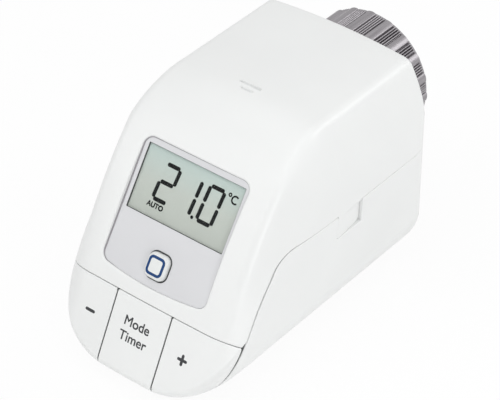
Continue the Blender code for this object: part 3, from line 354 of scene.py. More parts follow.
def sideRing(x):
    shape = bodyShape
    roof = skinDrop(x, shape["roofCrown"], shape["roofSide"])
    front = skinDrop(x, shape["faceCrown"], shape["faceSide"])
    chin = skinDrop(x, shape["faceCrown"], shape["chinSide"])
    low = skinKeel(x)
    top = shape["roofZ"] - roof
    back = shape["rearRound"]
    past = min(max(x - shape["halfWidth"] + back, 0.0), back)
    rear = shape["rearY"] - back + math.sqrt(back ** 2 - past ** 2)
    lip = min(shape["rearLip"], (top - low) * shape["lipShare"])
    ring = bendArc(rear - lip, top - lip, lip, 0.0, math.pi / 2, 5)
    bend = max(shape["roofBend"] - front, shape["leastBend"])
    bendZ = shape["roofZ"] - front - bend
    bendY = arcY - math.sqrt((shape["faceArc"] - front - bend) ** 2 - (bendZ - arcZ) ** 2)
    bendTurn = math.atan2(bendZ - arcZ, bendY - arcY)
    ring += [(y, top) for y in skinRows["roofY"]]
    for share in skinRows["bend"]:
        a = math.pi / 2 + (bendTurn - math.pi / 2) * share
        r = bend + (front - roof) * (1 - share)
        ring.append((bendY + r * math.cos(a), bendZ + r * math.sin(a)))
    shrink = min((top - low - shape["shrinkFrom"]) / shape["shrinkOver"], 1.0)
    r1, r2 = shape["chinRound"] * shrink, shape["keelRound"] * shrink
    chinZ = low + r2 - (r2 - r1) * math.sqrt(0.5)
    blend = min(max(bendZ - chinZ, 0.0) / shape["chinBlend"], 1.0)  # the widest rings are too short to turn
    chin = front + (chin - front) * blend ** 2 * (3 - 2 * blend)
    reach = shape["faceArc"] - chin - r1
    flatTurn = math.pi - tilt + math.asin(-shape["keyFlatV"] / shape["faceArc"])
    run = max((chinZ - arcZ - reach * math.sin(flatTurn)) / math.cos(flatTurn), 0.0)
    chinTurn = flatTurn if run > 0 else math.pi - math.asin((chinZ - arcZ) / reach)
    chinY = arcY + reach * math.cos(chinTurn) - run * math.sin(chinTurn)
    bowed = (shape["faceArc"] - front) * (chinTurn - bendTurn)
    for i in range(1, skinRows["face"] + 1):  # bowed, then straight past the keys
        share = i / skinRows["face"]
        out = shape["faceArc"] - front - (chin - front) * share ** 2 * (3 - 2 * share)
        way = share * (bowed + run)
        a = bendTurn + min(way, bowed) / (shape["faceArc"] - front)
        past = max(way - bowed, 0.0)
        cos, sin = math.cos(a), math.sin(a)
        ring.append((arcY + out * cos - past * sin, arcZ + out * sin + past * cos))
    ring += bendArc(chinY, chinZ, r1, chinTurn, 1.25 * math.pi, 10)[1:]
    keelY, keelZ = chinY + (r2 - r1) * math.sqrt(0.5), chinZ + (r2 - r1) * math.sqrt(0.5)
    ring += bendArc(keelY, keelZ, r2, 1.25 * math.pi, 1.5 * math.pi, 8)[1:]
    ring += between((keelY, low), (skinRows["floorY"][0], low), evenShares(skinRows["floor"]))
    ring += [(y, low) for y in skinRows["floorY"]]
    ring += bendArc(rear - lip, low + lip, lip, -math.pi / 2, 0.0, 5)
    ring += between((rear, low + lip), (rear, top - lip), evenShares(skinRows["rear"]))
    return ring


def skinLevels():
    shape = bodyShape
    sideX = shape["halfWidth"] - shape["sideArc"]
    levels = [start + step * i for start, step, first, end in ringRuns for i in range(first, end)]
    tall = [sideX + math.sqrt(shape["sideArc"] ** 2 - h * h) for h in np.arange(24.0, 12.0, -0.8)]
    keelX = shape["bottomFlat"] + shape["bottomRound"]
    lean = shape["halfWidth"] - keelX
    rise = shape["roofZ"] - shape["roofSide"][0] - shape["bottomRound"]
    low = [keelX + (z / rise) * lean for z in np.arange(0.0, rise - 0.6, 0.8)]
    merged = []
    for x in sorted(levels + [x for x in tall if x > 26.9] + low):
        if (not merged or x - merged[-1] > 0.003) and x < sidePatch["fromX"] - 0.01:
            merged.append(x)
    return merged + [sidePatch["fromX"]]


def lineDistance(flat, line, closed=False):
    ends = np.roll(line, -1, axis=0) if closed else line[1:]
    starts = line if closed else line[:-1]
    best = np.full(len(flat), 1e9)
    for a, b in zip(starts, ends):
        way = b - a
        t = np.clip(((flat - a) @ way) / (way @ way), 0, 1)
        best = np.minimum(best, np.linalg.norm(flat - a - t[:, None] * way, axis=1))
    return best


def insideLoop(flat, loop):
    hit = np.zeros(len(flat), bool)
    for a, b in zip(loop, np.roll(loop, -1, axis=0)):
        span = (a[1] > flat[:, 1]) != (b[1] > flat[:, 1])
        rise = b[1] - a[1] if abs(b[1] - a[1]) > 1e-12 else 1e-12
        hit ^= span & (flat[:, 0] < (b[0] - a[0]) * (flat[:, 1] - a[1]) / rise + a[0])
    return hit


# Near its widest the side is one gentle patch over a grid in side view
def makePatch(ring):
    s, shape = sidePatch, bodyShape
    low, high = ring.min(0), ring.max(0)
    counts = ((high - low) / s["grid"]).astype(int)
    sideX = shape["halfWidth"] - shape["sideArc"]
    heights = np.linspace(math.sqrt(shape["sideArc"] ** 2 - (s["fromX"] - sideX) ** 2), 1.0, s["levels"])
    widths = [sideX + math.sqrt(shape["sideArc"] ** 2 - h * h) for h in heights]
    y, z = np.meshgrid(*[low[c] + s["grid"] * np.arange(counts[c] + 1) for c in (0, 1)])
    flat = np.stack([y.ravel(), z.ravel()], 1)
    depths = []
    for width in widths:
        line = np.array(sideRing(width))
        away = lineDistance(flat, line, True)
        depths.append(np.where(insideLoop(flat, line), away, -away))
    x = np.full(len(flat), np.nan)
    held = np.ones(len(flat), bool)
    for k, width in enumerate(widths):  # a spot lies past the last ring that holds it
        last = k == len(widths) - 1
        wider = shape["halfWidth"] if last else widths[k + 1]
        after = depths[k] - 1.0 if last else depths[k + 1]
        held &= depths[k] > 0
        share = np.clip(depths[k] / np.maximum(depths[k] - after, 1e-6), 0.0, 1.0)
        x = np.where(held, width + (wider - width) * share, x)
    x = x.reshape(y.shape)
    for turn in range(s["smooth"]):
        mean = (x[:-2, 1:-1] + x[2:, 1:-1] + x[1:-1, :-2] + x[1:-1, 2:]) / 4
        x[1:-1, 1:-1] = np.where(np.isnan(mean), x[1:-1, 1:-1], mean)
    keep = depths[0] > 0.6 * s["grid"]
    flat, x = flat[keep], x.ravel()[keep]
    spots = np.vstack([ring, flat])
    rim = [(k, (k + 1) % len(ring)) for k in range(len(ring))]
    made = geometry.delaunay_2d_cdt([Vector(p) for p in spots], rim, [], 1, 1e-5)
    first = [ids[0] for ids in made[3]]
    return np.column_stack([x, flat]), [[first[i] for i in face] for face in made[2]]


def makeSkin():
    levels = skinLevels()
    widths = [-x for x in levels[:0:-1]] + levels
    rings = []
    for x in widths:
        rings.append([(x, y, z) for y, z in sideRing(abs(x))])
    count, rows = len(rings[0]), len(rings)
    points = np.array(rings).reshape(-1, 3)
    i = np.repeat(np.arange(rows - 1), count)
    j = np.tile(np.arange(count), rows - 1)
    k = (j + 1) % count
    a, b, c, d = i * count + j, i * count + k, (i + 1) * count + k, (i + 1) * count + j
    tris = np.concatenate([np.stack([a, c, b], 1), np.stack([a, d, c], 1)])
    caps = []
    inner, cells = makePatch(points[-count:, 1:])
    for row, side in ((0, -1.0), (rows - 1, 1.0)):
        ids = np.concatenate([row * count + np.arange(count), len(points) + np.arange(len(inner))])
        points = np.vstack([points, inner * (side, 1.0, 1.0)])
        caps += [ids[cell[::-1] if side > 0 else cell] for cell in cells]
    tris = np.concatenate([tris, np.array(caps)])
    corners = points[tris]
    lean = np.cross(corners[:, 1] - corners[:, 0], corners[:, 2] - corners[:, 0])
    volume = (corners[:, 0] * np.cross(corners[:, 1], corners[:, 2])).sum() / 6
    if volume < 0:
        tris = tris[:, ::-1]
        lean = -lean
    normals = np.zeros_like(points)
    for c in range(3):
        np.add.at(normals, tris[:, c], lean)
    normals /= np.maximum(np.linalg.norm(normals, axis=1), 1e-12)[:, None]
    pairs = np.sort(np.concatenate([tris[:, [0, 1]], tris[:, [1, 2]], tris[:, [2, 0]]]), axis=1)
    return {"points": points, "tris": tris, "normals": normals, "edges": np.unique(pairs, axis=0)}


skin = makeSkin()
skinTree = BVHTree.FromPolygons(skin["points"].tolist(), skin["tris"].tolist())
print("skin made:", len(skin["points"]), "points")

# Lines where the skin is parted
seamShape = {
    "z": 39.5, "depth": 6.6, "bendR": 10.5, "bow": 0.7, "footLean": math.radians(17.0),
    "bendStartY": -12.0, "bendEndY": -24.0,
    "tabFrontY": -2.3, "tabRearY": 7.5, "tabLength": 7.1, "tabReach": 8.0, "tabTop": 0.5, "tabRear": 0.8,
    "topGap": 0.1, "tabGap": 0.03, "frontGap": 0.28, "keyGap": 0.75, "keyTopGap": 0.22, "keySplit": 0.42,
    "neckZ": 42.75, "neckR": 13.1, "neckFromY": 20.0,
}
edgeShape = {
    "seam": 0.16, "tab": 0.04, "window": 0.45, "key": 0.12,
    "windowReach": 3.0, "windowFade": 2.0, "keyReach": 2.0, "keyFade": 1.0, "belowSeam": -1.0,
}
windowShape = {"halfX": 16.62, "halfV": 16.75, "corner": 2.7, "bow": 1.0, "floor": -6.0}
farOff = 99.0  # a field's value where it doesn't count


def seamLine():
    s = seamShape
    low = s["z"] - s["tabLength"]
    line = [(60.0, s["z"]), (s["tabRearY"], s["z"]), (s["tabRearY"], low)]
    line += [(s["tabFrontY"], low), (s["tabFrontY"], s["z"])]
    cornerV = (s["z"] - facePoint(0.0, 0.0, -s["depth"])[2]) / faceUp[2]
    cornerY = facePoint(0.0, cornerV, -s["depth"])[1]
    turn, r = math.pi / 2 - tilt, s["bendR"]
    line += bendArc(cornerY + r * math.tan(turn / 2), s["z"] - r, r, math.pi / 2, math.pi / 2 + turn, 16)
    foot = facePoint(0.0, bodyShape["keyLineV"], -s["depth"])[1:]
    away = line[-1] - foot
    for t in evenShares(12):
        line.append(tuple(foot + away * (1 - t) + s["bow"] * math.sin(math.pi * t) * faceOut[1:]))
    footY, footZ = foot
    lean = s["footLean"]
    line += [(footY, footZ), (footY - 90.0 * math.sin(lean), footZ - 90.0 * math.cos(lean))]
    return np.array(line)


def roundedLoop(halfX, lowV, topV, r, steps, bow=0.0):
    quarter = math.pi / 2
    loop = bendArc(halfX - r, topV - r, r, 0.0, quarter, steps)
    loop += bendArc(-halfX + r, topV - r, r, quarter, 2 * quarter, steps)
    loop += bendArc(-halfX + r, lowV + r, r, 2 * quarter, 3 * quarter, steps)
    flat = halfX - r
    if bow:
        for k in range(1, 24):
            x = flat * (k / 12 - 1)
            loop.append((x, lowV - bow * (1 - (x / flat) ** 2)))
    return loop + bendArc(halfX - r, lowV + r, r, 3 * quarter, 4 * quarter, steps)


def windowOutline(inset):
    w = windowShape
    halfX, halfV = w["halfX"] - inset, w["halfV"] - inset
    return roundedLoop(halfX, -halfV, halfV, w["corner"] - inset, 10, w["bow"])


seam = seamLine()
aboveSeam = np.vstack([seam, [(-180, -90), (-180, 90), (60, 90)]])
windowLoop = np.array(windowOutline(0.0))


def seamField(points):
    flat = points[:, 1:]
    away = lineDistance(flat, seam)
    return np.where(insideLoop(flat, aboveSeam), away, -away)


def onFace(points):
    away = points - faceMid
    return np.stack([points[:, 0], away @ faceUp, away @ faceOut], 1)


def neckField(points):
    s = seamShape
    reach = np.hypot(points[:, 0], points[:, 2] - s["neckZ"]) - s["neckR"]
    return np.where(points[:, 1] > s["neckFromY"], reach, farOff)


def smooth(t):
    t = np.clip(t, 0, 1)
    return t * t * (3 - 2 * t)


# the tab lies close along its front and foot
def onTab(points):
    s = seamShape
    y, z = points[:, 1], points[:, 2]
    near = np.abs(y - s["tabFrontY"]) < s["tabReach"]
    return near & (z < s["z"] - s["tabTop"]) & (y < s["tabRearY"] - s["tabRear"])


def seamGap(points):
    s = seamShape
    toFront = smooth((s["bendStartY"] - points[:, 1]) / (s["bendStartY"] - s["bendEndY"]))
    gap = s["topGap"] + (s["frontGap"] - s["topGap"]) * toFront
    return np.where(onTab(points), s["tabGap"], gap)


def seamEdge(points):
    return np.where(onTab(points), edgeShape["tab"], edgeShape["seam"])


def windowField(points):
    local = onFace(points)
    away = lineDistance(local[:, :2], windowLoop, True)
    window = np.where(insideLoop(local[:, :2], windowLoop), -away, away)
    return np.where(local[:, 2] > windowShape["floor"], window, farOff)


def housingField(points):
    above = seamField(points) - seamGap(points) / 2
    key = onFace(points)[:, 1] - bodyShape["keyLineV"]
    return np.minimum.reduce([above, key, windowField(points), neckField(points)])


def housingEdge(points):
    e = edgeShape
    toWindow = smooth((e["windowReach"] - windowField(points)) / e["windowFade"])
    toKeys = smooth((bodyShape["keyLineV"] + e["keyReach"] - onFace(points)[:, 1]) / e["keyFade"])
    toKeys = toKeys * (seamField(points) > e["belowSeam"])
    edge = seamEdge(points)
    edge = edge + (e["window"] - edge) * toWindow
    return edge + (e["key"] - edge) * toKeys


def coverField(points):
    return np.minimum(-seamField(points) - seamGap(points) / 2, neckField(points))


def keyField(low, high):
    def field(points):
        key = bodyShape["keyLineV"] - seamShape["keyTopGap"] - onFace(points)[:, 1]
        front = seamField(points) - seamShape["keyGap"] + seamShape["frontGap"] / 2
        return np.minimum.reduce([key, front, points[:, 0] - low, high - points[:, 0]])
    return field


def keyEdge(points):
    return np.full(len(points), edgeShape["key"])


def slopeOf(field, points):
    step = 0.02
    slope = np.zeros_like(points)
    for c in range(3):
        shift = np.zeros(3)
        shift[c] = step
        slope[:, c] = field(points + shift) - field(points - shift)
    return slope


def partSkin(name, field, edgeAt, material, body, node, press=None):
    points, normals = skin["points"].copy(), skin["normals"].copy()
    value = field(points) - edgeAt(points)
    a, b = skin["edges"].T
    cross = value[a] * value[b] < 0
    a, b = a[cross], b[cross]
    share = value[a] / (value[a] - value[b])
    target = points[a] + share[:, None] * (points[b] - points[a])
    turned = normals[a] + share[:, None] * (normals[b] - normals[a])
    mover = np.where(share < 0.5, a, b)
    order = np.argsort(-np.linalg.norm(target - points[mover], axis=1))
    points[mover[order]] = target[order]
    normals[mover[order]] = turned[order] / np.linalg.norm(turned[order], axis=1)[:, None]
    value[mover] = 0.0
    tris = skin["tris"]
    tris = tris[(value[tris].min(1) > -1e-9) & (value[tris].max(1) > 1e-6)]
    half = np.concatenate([tris[:, [0, 1]], tris[:, [1, 2]], tris[:, [2, 0]]])
    total = len(points)
    code, mirror = half[:, 0] * total + half[:, 1], half[:, 1] * total + half[:, 0]
    rim = half[~np.isin(code, mirror)]
    used = np.unique(tris)
    lip = np.unique(rim)
    slope = slopeOf(field, points[lip])
    n = normals[lip]
    out = -(slope - n * (slope * n).sum(1)[:, None])
    out /= np.maximum(np.linalg.norm(out, axis=1), 1e-9)[:, None]
    edge = edgeAt(points[lip])[:, None]
    if press is not None:
        points = press(points, normals)
    wall = bodyShape["wall"]
    rows = []
    for turn in (22.5, 45.0, 67.5, 90.0):
        t = math.radians(turn)
        rows.append(points[lip] + edge * (math.sin(t) * out - (1 - math.cos(t)) * n))
    rows.append(points[lip] + edge * out - wall * n)
    inside = np.setdiff1d(used, lip)
    verts = [points[used]]
    outerId = np.full(total, -1)
    outerId[used] = np.arange(len(used))
    lipRow = [outerId[lip]]
    size = len(used)
    for row in rows:
        verts.append(row)
        lipRow.append(size + np.arange(len(lip)))
        size += len(lip)
    verts.append(points[inside] - wall * normals[inside])
    innerId = np.full(total, -1)
    innerId[inside] = size + np.arange(len(inside))
    innerId[lip] = lipRow[-1]
    place = np.full(total, -1)
    place[lip] = np.arange(len(lip))
    faces = [outerId[tris], innerId[tris][:, ::-1]]
    i, j = place[rim[:, 0]], place[rim[:, 1]]
    for near, far in zip(lipRow[:-1], lipRow[1:]):
        faces.append(np.stack([near[j], near[i], far[i]], 1))
        faces.append(np.stack([near[j], far[i], far[j]], 1))
    return meshPiece(name, np.vstack(verts), np.vstack(faces).tolist(), material, body, (node,))


# roof slots and the sunk latch tabs are pressed into the housing skin
roofSlots = {
    "lines": ((-3.4, 3.05, -0.5), (-1.7, 1.8, -2.3)), "half": 0.3, "soft": 0.22, "deep": 0.9,
    "rimWide": 0.9, "rimSoft": 0.6, "rimHigh": 0.09, "aboveZ": 60.0, "withinX": 5.0,
}
latchTab = {"deep": 0.85, "fold": 1.6, "above": 2.5, "slack": 0.1}


def pressHousing(points, normals):
    r, t, s = roofSlots, latchTab, seamShape
    x, y, z = points.T
    moved = points.copy()
    roof = (z > r["aboveZ"]) & (np.abs(x) < r["withinX"])
    for x0, x1, slotY in r["lines"]:
        away = np.hypot(x - np.clip(x, x0 + r["half"], x1 - r["half"]), y - slotY)
        sink = smooth((r["half"] - away) / r["soft"] + 0.5) * r["deep"]
        sink = sink - r["rimHigh"] * smooth((r["rimWide"] - away) / r["rimSoft"])
        moved[:, 2] -= np.where(roof, sink, 0.0)
    front, rear = s["tabFrontY"], s["tabRearY"]
    tab = (z < s["z"] + t["above"]) & (y > front - t["slack"]) & (y < rear + t["slack"])
    along = np.clip((y - front) / (rear - front), 0, 1)
    sink = np.where(tab, t["deep"] * along * smooth((s["z"] - z) / t["fold"]), 0.0)
    return moved - sink[:, None] * normals


halfSplit = seamShape["keySplit"] / 2
keySpans = {
    "minus": (-90.0, -keySplitX - halfSplit), "centre": (-keySplitX + halfSplit, keySplitX - halfSplit),
    "plus": (keySplitX + halfSplit, 90.0),
}
partSkin("housingShell", housingField, housingEdge, whiteShell, "head", "upper_housing",
         pressHousing)
partSkin("coverShell", coverField, seamEdge, whiteShell, "cover", "battery_cover")
for keyName, (low, high) in keySpans.items():
    partSkin(keyName + "KeyCap", keyField(low, high), keyEdge, whiteShell, keyName, keyName + "_key")
print("shell parted into housing, cover and keys")


# Flat pieces on the slanting face, with rounded front edges
def loopNormals(loop, hole):
    loop = np.array(loop)
    way = np.roll(loop, -1, axis=0) - loop
    side = np.stack([way[:, 1], -way[:, 0]], 1)
    side /= np.linalg.norm(side, axis=1)[:, None]
    mean = side + np.roll(side, 1, axis=0)
    mean /= np.maximum((mean ** 2).sum(1) / 2, 0.2)[:, None]
    area = (loop[:, 0] * np.roll(loop[:, 1], -1) - np.roll(loop[:, 0], -1) * loop[:, 1]).sum()
    return loop, mean if (area > 0) != hole else -mean


def faceplate(name, loops, back, front, edge, material, stands):
    points, faces, foot, top = [], [], [], []
    rows = [(0.0, back)]
    for turn in (0.0, 22.5, 45.0, 67.5, 90.0):
        t = math.radians(turn)
        rows.append((edge * (1 - math.cos(t)), front - edge + edge * math.sin(t)))
    for index, loop in enumerate(loops):
        flat, side = loopNormals(loop, index > 0)
        start, count = len(points), len(flat)
        for inset, depth in rows:
            points += [facePoint(x, v, depth) for x, v in flat - side * inset]
        faces += ringFaces(start, len(rows), count)
        foot.append(list(range(start, start + count)))
        top.append(list(range(len(points) - count, len(points))))
    meshPiece(name, points, closeMesh(points, faces, (top, foot)), material, "head", stands)


displayShape = {
    "sink": 0.5, "thick": 2.0, "fit": 0.06, "edge": 0.12, "fineEdge": 0.02, "slip": 0.01,
    "rimWide": 0.24, "rimThin": 0.03, "rimFade": 7.0, "rimSink": 0.3, "rimLow": 0.1, "rimFoot": 0.6,
    "lcdX": 0.15, "lcdHalfX": 15.28, "lcdTop": 15.05, "lcdLow": -2.05, "lcdCorner": 0.2,
    "lcdDepth": 1.1, "lcdThick": 1.6, "lcdLap": 0.05,
    "shadeFrameIn": 0.07, "shadeFrameDrop": 0.14, "windowTop": 0.54, "windowLow": 0.62, "windowFit": 0.02,
}
buttonShape = {
    "v": -11.9, "halfX": 3.15, "halfV": 3.3, "corner": 1.9, "gap": 0.4, "top": 0.85, "foot": -2.0,
    "shadeRingIn": 0.05, "shadeRingDeep": 1.0, "shadeRingDrop": 0.06, "edge": 0.85, "dome": 0.12,
    "ringHalf": 2.5, "ringCorner": 1.3, "ringStroke": 0.72, "ringProud": 0.02,
}


def lcdOutline(inset):
    d = displayShape
    loop = roundedLoop(d["lcdHalfX"] - inset, d["lcdLow"] + inset, d["lcdTop"] - inset, d["lcdCorner"], 3)
    return [(x + d["lcdX"], v) for x, v in loop]


def onSkin(x, v):
    spot, out, *_ = skinTree.ray_cast(Vector(facePoint(x, v, 12.0)), Vector(-faceOut))
    out = np.array(out)
    return np.array(spot), out if out @ faceOut > 0 else -out


# Collar of the panel in dark grey, painted shade of the window's wall: it stands up the window's wall on the
# left, and is thin and low on the right
def collarFade(x):
    return float(smooth((x + windowShape["halfX"]) / displayShape["rimFade"]))


def collarInside(grow):
    d = displayShape
    wide, thin = [windowOutline(d["fit"] + d[rim] + grow) for rim in ("rimWide", "rimThin")]
    return [between(a, b, [collarFade(a[0])])[0] for a, b in zip(wide, thin)]


def makeShadeCollar():
    d = displayShape
    outer, inner = windowOutline(d["fit"]), collarInside(0.0)
    count = len(outer)
    foot, low = -d["sink"] - d["rimFoot"], -d["sink"] - d["rimLow"]
    tops = []
    for x, v in outer:
        high = (onSkin(x, v)[0] - faceMid) @ faceOut - d["rimSink"]
        tops.append(high + (low - high) * collarFade(x))
    points = []
    for loop, depths in ((outer, [foot] * count), (outer, tops), (inner, tops), (inner, [foot] * count)):
        points += [facePoint(*spot, depth) for spot, depth in zip(loop, depths)]
    faces = ringFaces(0, 4, count)
    faces += [(3 * count + k, 3 * count + (k + 1) % count, (k + 1) % count, k) for k in range(count)]
    meshPiece("panelShadeCollar", points, faces, collarPaintedShade, "head", ())


def buttonOutline(grow, steps=8):
    b = buttonShape
    low, top = b["v"] - b["halfV"] - grow, b["v"] + b["halfV"] + grow
    return roundedLoop(b["halfX"] + grow, low, top, b["corner"] + grow, steps)


def makeDisplay():
    d, b = displayShape, buttonShape
    front, glass, fine, slip = -d["sink"], -d["lcdDepth"], d["fineEdge"], d["slip"]
    makeShadeCollar()
    loops = [collarInside(slip), lcdOutline(0.0), buttonOutline(b["gap"])]
    faceplate("displayPanel", loops, front - d["thick"], front, d["edge"], panelGrey,
              ("display_panel",))
    loops = [lcdOutline(-d["lcdLap"])]
    faceplate("lcdGlass", loops, glass - d["lcdThick"], glass, d["lcdLap"], lcdGreenPaintedReflection, ("lcd_glass",))
    # a dark frame lining the walls of the LCD recess: painted shade of the recess
    loops = [lcdOutline(slip), lcdOutline(d["shadeFrameIn"])]
    faceplate("lcdPaintedShadeFrame", loops, glass, front - d["shadeFrameDrop"], fine, darkRubberAndPaintedShade, ())
    # a dark ring down in the gap round the button: painted shade of the gap
    loops = [buttonOutline(b["gap"] - slip), buttonOutline(b["shadeRingIn"])]
    faceplate("buttonPaintedShadeRing", loops, front - b["shadeRingDeep"], front - b["shadeRingDrop"], fine, darkRubberAndPaintedShade,
              ())
    loops = [lcdOutline(d["windowFit"])]
    faceplate("displayWindow", loops, -d["windowLow"], -d["windowTop"], fine, clearWindow,
              ("display_window",))


makeDisplay()
print("display panel, glass and window made")


# Thin closed prints laid on a surface: flat cells in face measures, and a place for each point
def layPrint(name, flat, cells, place, proud, material, body, slot):
    spots, outs = [np.array(a) for a in zip(*[place(x, v) for x, v in flat])]
    count = len(flat)
    faces = [tuple(c) for c in cells] + [tuple(i + count for i in c[::-1]) for c in cells]
    ways = {(a, b) for c in cells for a, b in zip(c, list(c[1:]) + [c[0]])}
    faces += [(b, a, a + count, b + count) for a, b in sorted(ways) if (b, a) not in ways]
    points = np.vstack([spots + proud * outs, spots - proud * outs])
    return meshPiece(name, points, faces, material, body, ())


def gather(*groups):
    flat, cells = [], []
    for points, faces in groups:
        cells += [[i + len(flat) for i in face] for face in faces]
        flat += points
    return flat, cells


def strokeBar(a, b, width, tip, cut):
    a, b = np.array(a), np.array(b)
    way = (b - a) / np.linalg.norm(b - a)
    side = np.array([-way[1], way[0]]) * width / 2
    cut = way * width * cut
    points = [a - side * tip, a + cut - side, b - cut - side, b - side * tip]
    points += [b + side * tip, b - cut + side, a + cut + side, a + side * tip]
    return [tuple(p) for p in points], [list(range(8))]


def roundBar(a, b, width):
    turn = math.atan2(b[1] - a[1], b[0] - a[0])
    loop = bendArc(*b, width / 2, turn - math.pi / 2, turn + math.pi / 2, 8)
    loop += bendArc(*a, width / 2, turn + math.pi / 2, turn + 1.5 * math.pi, 8)
    return loop, [list(range(len(loop)))]


def circle(x, v, r, count):
    return bendArc(x, v, r, 0.0, 2 * math.pi * (count - 1) / count, count - 1)


def loopStrip(outer, inner):
    count = len(outer)
    cells = [[k, (k + 1) % count, count + (k + 1) % count, count + k] for k in range(count)]
    return list(outer) + list(inner), cells


def ribbon(left, right):
    count = len(left)
    return list(left) + list(right), [[k, k + 1, count + k + 1, count + k] for k in range(count - 1)]


def lettering(words, size, x, v, bold):
    curve = bpy.data.curves.new("lettering", "FONT")
    curve.body, curve.size, curve.align_x = words, size, "CENTER"
    curve.resolution_u = 5
    holder = bpy.data.objects.new("lettering", curve)
    bpy.context.scene.collection.objects.link(holder)
    mesh = bpy.data.meshes.new_from_object(holder.evaluated_get(bpy.context.evaluated_depsgraph_get()))
    flat = np.array([(p.co.x + x, p.co.y + v) for p in mesh.vertices])
    cells = [list(p.vertices) for p in mesh.polygons]
    ways = {(a, b) for c in cells for a, b in zip(c, c[1:] + c[:1])}
    out = np.zeros_like(flat)
    for a, b in ways:
        if (b, a) not in ways:
            way = flat[b] - flat[a]
            out[[a, b]] += np.array([way[1], -way[0]]) / max(np.linalg.norm(way), 1e-9)
    flat = flat + bold * out / np.maximum(np.linalg.norm(out, axis=1), 1e-9)[:, None]
    bpy.data.objects.remove(holder)
    bpy.data.curves.remove(curve)
    bpy.data.meshes.remove(mesh)
    return [tuple(p) for p in flat], cells


# Digits of the display: seven bars a digit, leaning a little
digitShape = {
    "midV": 7.32, "halfX": 2.2, "halfV": 4.6, "lean": 0.066,
    "bar": 1.06, "gap": 0.22, "tip": 0.45, "cut": 0.3,
    "spots": (("2", -6.55), ("1", 0.45), ("0", 7.42)), "dot": (3.53, 2.72), "dotR": 0.46,
    "degree": (11.5, 11.95), "degreeR": (0.55, 0.2),
    "unit": (13.3, 11.2), "unitR": (1.18, 0.72), "unitOpen": 0.78,
    "status": ("AUTO", 1.8, -7.5, 0.5), "statusBold": 0.11, "proud": 0.012,
}
digitBars = {"2": "abged", "1": "bc", "0": "abcdef"}


def digitCells(figure, x):
    d = digitShape
    w, h, gap = d["halfX"], d["halfV"], d["gap"]
    ends = {
        "a": ((-w + gap, h), (w - gap, h)), "g": ((-w + gap, 0.0), (w - gap, 0.0)),
        "d": ((-w + gap, -h), (w - gap, -h)),
        "b": ((w, gap), (w, h - gap)), "c": ((w, -h + gap), (w, -gap)),
        "f": ((-w, gap), (-w, h - gap)), "e": ((-w, -h + gap), (-w, -gap)),
    }
    groups = []
    for bar in digitBars[figure]:
        a, b = [(x + u + d["lean"] * t, d["midV"] + t) for u, t in ends[bar]]
        groups.append(strokeBar(a, b, d["bar"], d["tip"], d["cut"]))
    return gather(*groups)


def onGlass(x, v):
    return facePoint(x, v, -displayShape["lcdDepth"]), faceOut


def makeDigits():
    d = digitShape
    groups = [digitCells(figure, x) for figure, x in d["spots"]]
    groups.append((circle(*d["dot"], d["dotR"], 16), [list(range(16))]))
    groups.append(loopStrip(*[circle(*d["degree"], r, 20) for r in d["degreeR"]]))
    start, end = d["unitOpen"], 2 * math.pi - d["unitOpen"]
    groups.append(ribbon(*[bendArc(*d["unit"], r, start, end, 24) for r in d["unitR"]]))
    groups.append(lettering(*d["status"], d["statusBold"]))
    layPrint("lcdDigits", *gather(*groups), onGlass, d["proud"], segmentInk, "head", "black_plastic")


makeDigits()
print("display digits made")


# Small square button with its light ring
def buttonSkin(x, v):
    b = buttonShape
    flat = 1.0 - b["edge"] / b["halfX"]
    share = min(max(abs(x) / b["halfX"], abs(v - b["v"]) / b["halfV"]) / flat, 1.0)
    return facePoint(x, v, b["top"] + b["dome"] * (1 - share ** 2)), faceOut


def makeButton():
    b = buttonShape
    loop = np.array(buttonOutline(0.0, 10))
    middle = np.array([0.0, b["v"]])
    edgeShare = b["edge"] / b["halfX"]
    rows = [(1.0, b["foot"])]
    for k in range(9):
        t = math.pi / 2 * k / 8
        rows.append((1.0 - edgeShare * (1 - math.cos(t)), b["top"] - b["edge"] * (1 - math.sin(t))))
    rows += [((1.0 - edgeShare) * f, b["top"] + b["dome"] * (1 - f * f)) for f in (0.8, 0.6, 0.4, 0.2)]
    points = [facePoint(*(middle + (p - middle) * share), depth) for share, depth in rows for p in loop]
    count = len(loop)
    faces = ringFaces(0, len(rows), count)
    faces.append(tuple(range((len(rows) - 1) * count, len(rows) * count)))
    faces.append(tuple(range(count - 1, -1, -1)))
    meshPiece("buttonCap", points, faces, buttonWhite, "button", ("system_button",))
    loops = []
    for stroke in (0.0, b["ringStroke"]):
        half = b["ringHalf"] - stroke
        loops.append(roundedLoop(half, b["v"] - half, b["v"] + half, b["ringCorner"] - stroke, 8))
    ring = loopStrip(*loops)
    piece = layPrint("lightRing", *ring, buttonSkin, b["ringProud"], ringBlue, "button", "light_guide")
    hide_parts("light_ring")


makeButton()
print("button and light ring made")

# Dark strips down in the gaps round the keys: painted shade of the deep gaps
keyGapShadeShape = {
    "drop": 0.32, "half": 0.1, "clear": 0.05, "pressRoom": 0.026, "leastWide": 0.06,
    "splitTurns": (0.03, 1.84), "footTurns": (-0.04, 3.18), "steps": 80,
}


